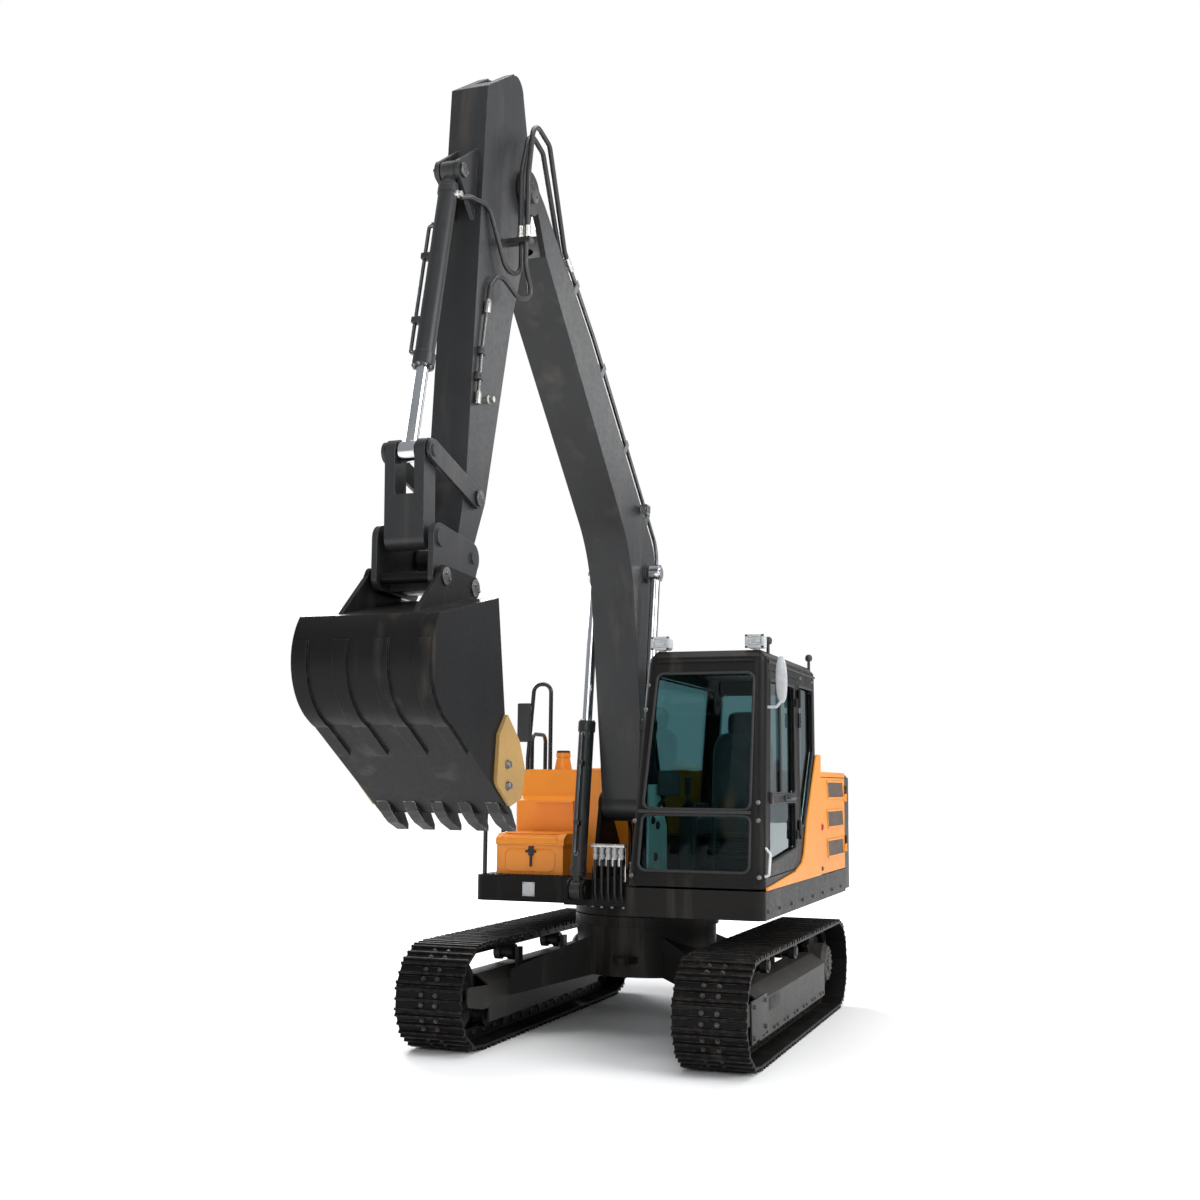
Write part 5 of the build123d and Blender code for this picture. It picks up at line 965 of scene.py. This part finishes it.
def dress_engine():
    """Covers, pipes and radiator, seen with the hood or a side door open."""
    top = Shape()
    top.block((-1.330, -0.180, 1.778), (-1.080, 0.460, 1.840), 0.02, 3)
    top.lathe((-0.960, -0.120, 1.800), (0, 1, 0),
              [(0, 0.075), (0.02, 0.085), (0.36, 0.085), (0.38, 0.070)], 24)
    top.place("engine_covers", "black_plastic", "house")
    bits = Shape()
    for k in range(5):
        for x in (-1.315, -1.095):
            bits.bolt((x, -0.150 + 0.145 * k, 1.832), (0, 0, 1), 0.010, 0.012)
    for route in (((-1.20, 0.44, 1.83), (-1.20, 0.62, 1.83), (-1.20, 0.72, 1.60), (-1.20, 0.72, 1.30)),
                  ((-1.36, -0.10, 1.79), (-1.36, -0.45, 1.86), (-1.36, -0.76, 1.90), (-1.356, -0.80, 1.94))):
        bits.tube(bent_line(route, 0.08), 0.035, False, 14)
    bits.place("engine_fittings", "exhaust_steel", "house")
    core = Shape()
    core.block((-1.480, 0.800, 1.152), (-0.760, 0.900, 1.860), 0.012)
    for k in range(26):
        z = 1.190 + 0.025 * k
        core.block((-1.455, 0.896, z), (-0.785, 0.906, z + 0.010), 0.001, 1)
    core.place("radiator", "rail_black", "house")


# Arm pieces

def pin_cap(caps, bolts, point, out, radius, count=2):
    """Round cap on a pin's end, with its bolts."""
    place = arm_place(point, out)
    way = (0, 1 if out > 0 else -1, 0)
    caps.lathe(place, way, [(-0.002, radius * 1.25), (0.008, radius * 1.25), (0.010, radius * 1.12),
                            (0.012, radius * 0.9), (0.014, radius * 0.3)], 26)
    for k in range(count):
        a = 2 * pi * k / count + 0.6
        spot = place + Vector((cos(a), 0, sin(a))) * (radius * 0.68) + Vector(way) * 0.010
        bolts.bolt(spot, way, 0.010, 0.011)


def dress_pins():
    """Pin caps and their bolts along the arm."""
    spots = {
        "boom": ((STICK_PIVOT, 0.186, 0.052), (STICK_CYL_FOOT, 0.084, 0.040)),
        "stick": ((BUCKET_CYL_FOOT, 0.084, 0.034), (ROCKER_PIVOT, 0.155, 0.038)),
        "bucket": ((BUCKET_PIN_FRONT, 0.228, 0.040), (BUCKET_PIN_REAR, 0.228, 0.040)),
    }
    for body, rows in spots.items():
        caps, bolts = Shape(), Shape()
        for point, out, radius in rows:
            for side in (-1, 1):
                pin_cap(caps, bolts, point, side * out, radius)
        caps.place("pin_caps_" + body, "pin_steel", body)
        bolts.place("pin_bolts_" + body, "bolt_steel", body)


def gland(shape, foot, head, reach, radius, count, out=0.0):
    """Bolts round a cylinder's head."""
    axis = (Vector(head) - Vector(foot)).normalized()
    across = Vector((-axis.y, axis.x))
    for k in range(count):
        a = 2 * pi * k / count
        flat = Vector(foot) + axis * reach + across * (cos(a) * radius)
        shape.bolt((flat.x, ARM_Y + out + sin(a) * radius, flat.y), (axis.x, 0, axis.y), 0.009, 0.012)


def side_line(steel, bands, foot, head, near, far, wall, out, turn):
    """Steel oil line along a cylinder, turned into the barrel at both ends, with two clamps."""
    axis = (Vector(head) - Vector(foot)).normalized()
    along = Vector((axis.x, 0, axis.y))
    rise = Vector((-axis.y, 0, axis.x)) * cos(turn) + Vector((0, 1, 0)) * sin(turn)
    base = arm_place(foot, out)
    route = [base + along * reach + rise * height for reach, height in (
        (near, wall * 0.9), (near, wall + 0.034), (far, wall + 0.034), (far, wall * 0.9))]
    steel.tube(bent_line(route, 0.03), 0.011)
    turned = Matrix((along, rise.cross(along), rise)).transposed()
    for share in (0.25, 0.75):
        middle = base + along * (near + (far - near) * share) + rise * (wall + 0.020)
        size = Vector((0.018, 0.022, 0.030))
        bands.block(middle - size, middle + size, 0.003, 2, turned)
    for reach in (near, far):
        steel.lathe(base + along * reach + rise * (wall * 0.9), rise, [
            (0, 0.020), (wall * 0.1 + 0.014, 0.020), (wall * 0.1 + 0.016, 0.015)], 6)


def dress_cylinders():
    """Head bolts, oil lines and ports on the cylinders."""
    sets = (
        ("boom_barrels", BOOM_CYL_FOOT, BOOM_ROD_PIN, 1.262, 0.052, 0.058, (-0.246, 0.246), (0.26, 1.16), pi),
        ("stick_barrel", STICK_CYL_FOOT, STICK_TAIL, 1.599, 0.058, 0.066, (0.0,), (0.20, 1.48), 0.0),
        ("bucket_barrel", BUCKET_CYL_FOOT, LINK_TOP, 1.290, 0.050, 0.056, (0.0,), (0.36, 1.20), -pi / 2),
    )
    for body, foot, head, reach, ring, wall, lanes, (near, far), turn in sets:
        steel, bands, bolts = Shape(), Shape(), Shape()
        for out in lanes:
            side_line(steel, bands, foot, head, near, far, wall, out, turn)
            gland(bolts, foot, head, reach, ring, 8, out)
        steel.place(body + "_line", "pipe_steel", body)
        bands.place(body + "_clamps", "dark_bolt", body)
        bolts.place(body + "_head_bolts", "bolt_steel", body)


def dress_hoses():
    """Hoses over the two arm joints, bent between their bodies, with crimped ends."""
    hoses, low_ends, high_ends = Shape(), Shape(), Shape()
    for lane in PIPE_LANES:
        y = ARM_Y + lane
        line = bent_line([(x, y, z) for x, z in BOOM_HOSE], 0.16)
        hoses.tube(even_line(line, HOSE_STEP), HOSE_RADIUS, False, 12)
        low_ends.lathe((-0.170, y, 1.148), (0, 0, 1), [
            (0, 0.026), (0.018, 0.026), (0.020, 0.021), (0.085, 0.021), (0.088, 0.018)], 14)
        high_ends.lathe((0.187, y, 2.362), (-0.10, 0, -1), HOSE_END, 14)
    tube = hoses.place("boom_hose_set", "hose_rubber")
    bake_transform(tube)
    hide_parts("boom_hoses")
    low_ends.place("boom_hose_ends_low", "fitting_zinc", "house")
    high_ends.place("boom_hose_ends_high", "fitting_zinc", "boom")
    hoses, low_ends, high_ends = Shape(), Shape(), Shape()
    for near, far, lift in STICK_LANES:
        a, b = ARM_Y + near, ARM_Y + far
        line = bent_line([(2.135, a, 5.351), (2.241, a, 5.427), (2.790, b, 5.880 + lift),
                          (3.010 + lift, b, 5.930 + lift), (3.130, b, 5.600), (3.130, b, 5.180)], 0.11)
        hoses.tube(even_line(line, HOSE_STEP), HOSE_RADIUS, False, 12)
        low_ends.lathe((2.135, a, 5.351), (0.814, 0, 0.581), HOSE_END, 14)
        high_ends.lathe((3.130, b, 5.178), (0, 0, 1), [
            (0, 0.026), (0.018, 0.026), (0.020, 0.021), (0.080, 0.021), (0.083, 0.018)], 14)
    tube = hoses.place("stick_hose_set", "hose_rubber")
    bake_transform(tube)
    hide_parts("stick_hoses")
    low_ends.place("stick_hose_ends_low", "fitting_zinc", "boom")
    high_ends.place("stick_hose_ends_high", "fitting_zinc", "stick")


def dress_stick_lines():
    """Hose loops and a steel line on the stick's left face, and the feed to the bucket cylinder."""
    face = STICK_FACE
    loop = Shape()
    line = bent_line([(3.115, 0.155, 5.152), (3.115, 0.155, 4.950), (3.260, 0.120, 4.935),
                      (3.450, 0.085, 5.270), (3.640, 0.050, 5.260), (3.690, 0.010, 5.240)], 0.09)
    loop.tube(even_line(line, HOSE_STEP), LOOP_RADIUS, False, 12)
    feed = loop.place("bucket_feed_hose", "hose_rubber")
    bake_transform(feed)
    low = Shape()
    line = bent_line([(3.150, 0.200, 5.152), (3.150, 0.200, 5.000), (3.030, 0.200, 4.830),
                      (3.180, 0.170, 4.780), (3.330, 0.110, 4.900), (3.430, face + 0.022, 4.780),
                      (3.462, face + 0.020, 4.620)], 0.08)
    low.tube(even_line(line, HOSE_STEP), LOOP_RADIUS, False, 12)
    low.place("stick_loop_hose", "hose_rubber", "stick")
    steel = Shape()
    steel.tube([(3.462, face + 0.020, 4.640), (3.520, face + 0.018, 4.360),
                (3.560, face + 0.018, 4.060)], 0.011)
    steel.place("stick_steel_line", "pipe_steel", "stick")
    ends = Shape()
    ends.lathe((3.450, face + 0.021, 4.690), (0.2, 0, -0.98), [
        (0, 0.018), (0.030, 0.021), (0.085, 0.021), (0.088, 0.016)], 12)
    ends.lathe((3.556, face + 0.018, 4.110), (0.13, 0, -0.99), [
        (0, 0.015), (0.02, 0.020), (0.080, 0.020)], 12)
    ends.lathe((3.400, face, 4.100), (0, 1, 0), [
        (0, 0.026), (0.018, 0.026), (0.020, 0.018), (0.050, 0.018)], 12)
    ends.place("stick_fittings", "fitting_zinc", "stick")
    port = Shape()
    port.lathe((3.737, ARM_Y + 0.040, 5.240), (0, 1, 0), [
        (0, 0.024), (0.030, 0.024), (0.032, 0.019), (0.052, 0.019)], 12)
    port.place("bucket_port", "fitting_zinc", "bucket_barrel")
    clamps = Shape()
    for x, z in ((3.520, 4.360), (3.552, 4.200)):
        clamps.block((x - 0.030, face - 0.002, z - 0.022), (x + 0.030, face + 0.034, z + 0.022), 0.005)
        clamps.bolt((x + 0.020, face + 0.034, z), (0, 1, 0), 0.008, 0.009)
    clamps.place("stick_line_clamps", "dark_bolt", "stick")


def dress_bucket():
    """Bolts of the bucket's side cutters."""
    bolts = Shape()
    for x, z in ((3.700, 1.960), (3.690, 1.845)):
        for side in (-1, 1):
            bolts.bolt((x, ARM_Y + side * 0.424, z), (0, side, 0), 0.020, 0.024)
    bolts.place("cutter_bolts", "bolt_steel", "bucket")


def dress_lamp():
    """Lens of the boom lamp."""
    Shape().lathe((0.658, 0.164, 3.953), (1, 0, 0), [(0, 0.026), (0.006, 0.026), (0.009, 0.018)], 20).place(
        "boom_lamp_lens", "lamp_lens", "boom")


for step in (finish_nodes, make_camera, make_studio, dress_tracks, dress_frames, dress_glazing,
             dress_cab_shell, dress_interior, dress_panels, dress_hose_bank, dress_engine, dress_pins,
             dress_cylinders, dress_hoses, dress_stick_lines, dress_bucket, dress_lamp):
    step()
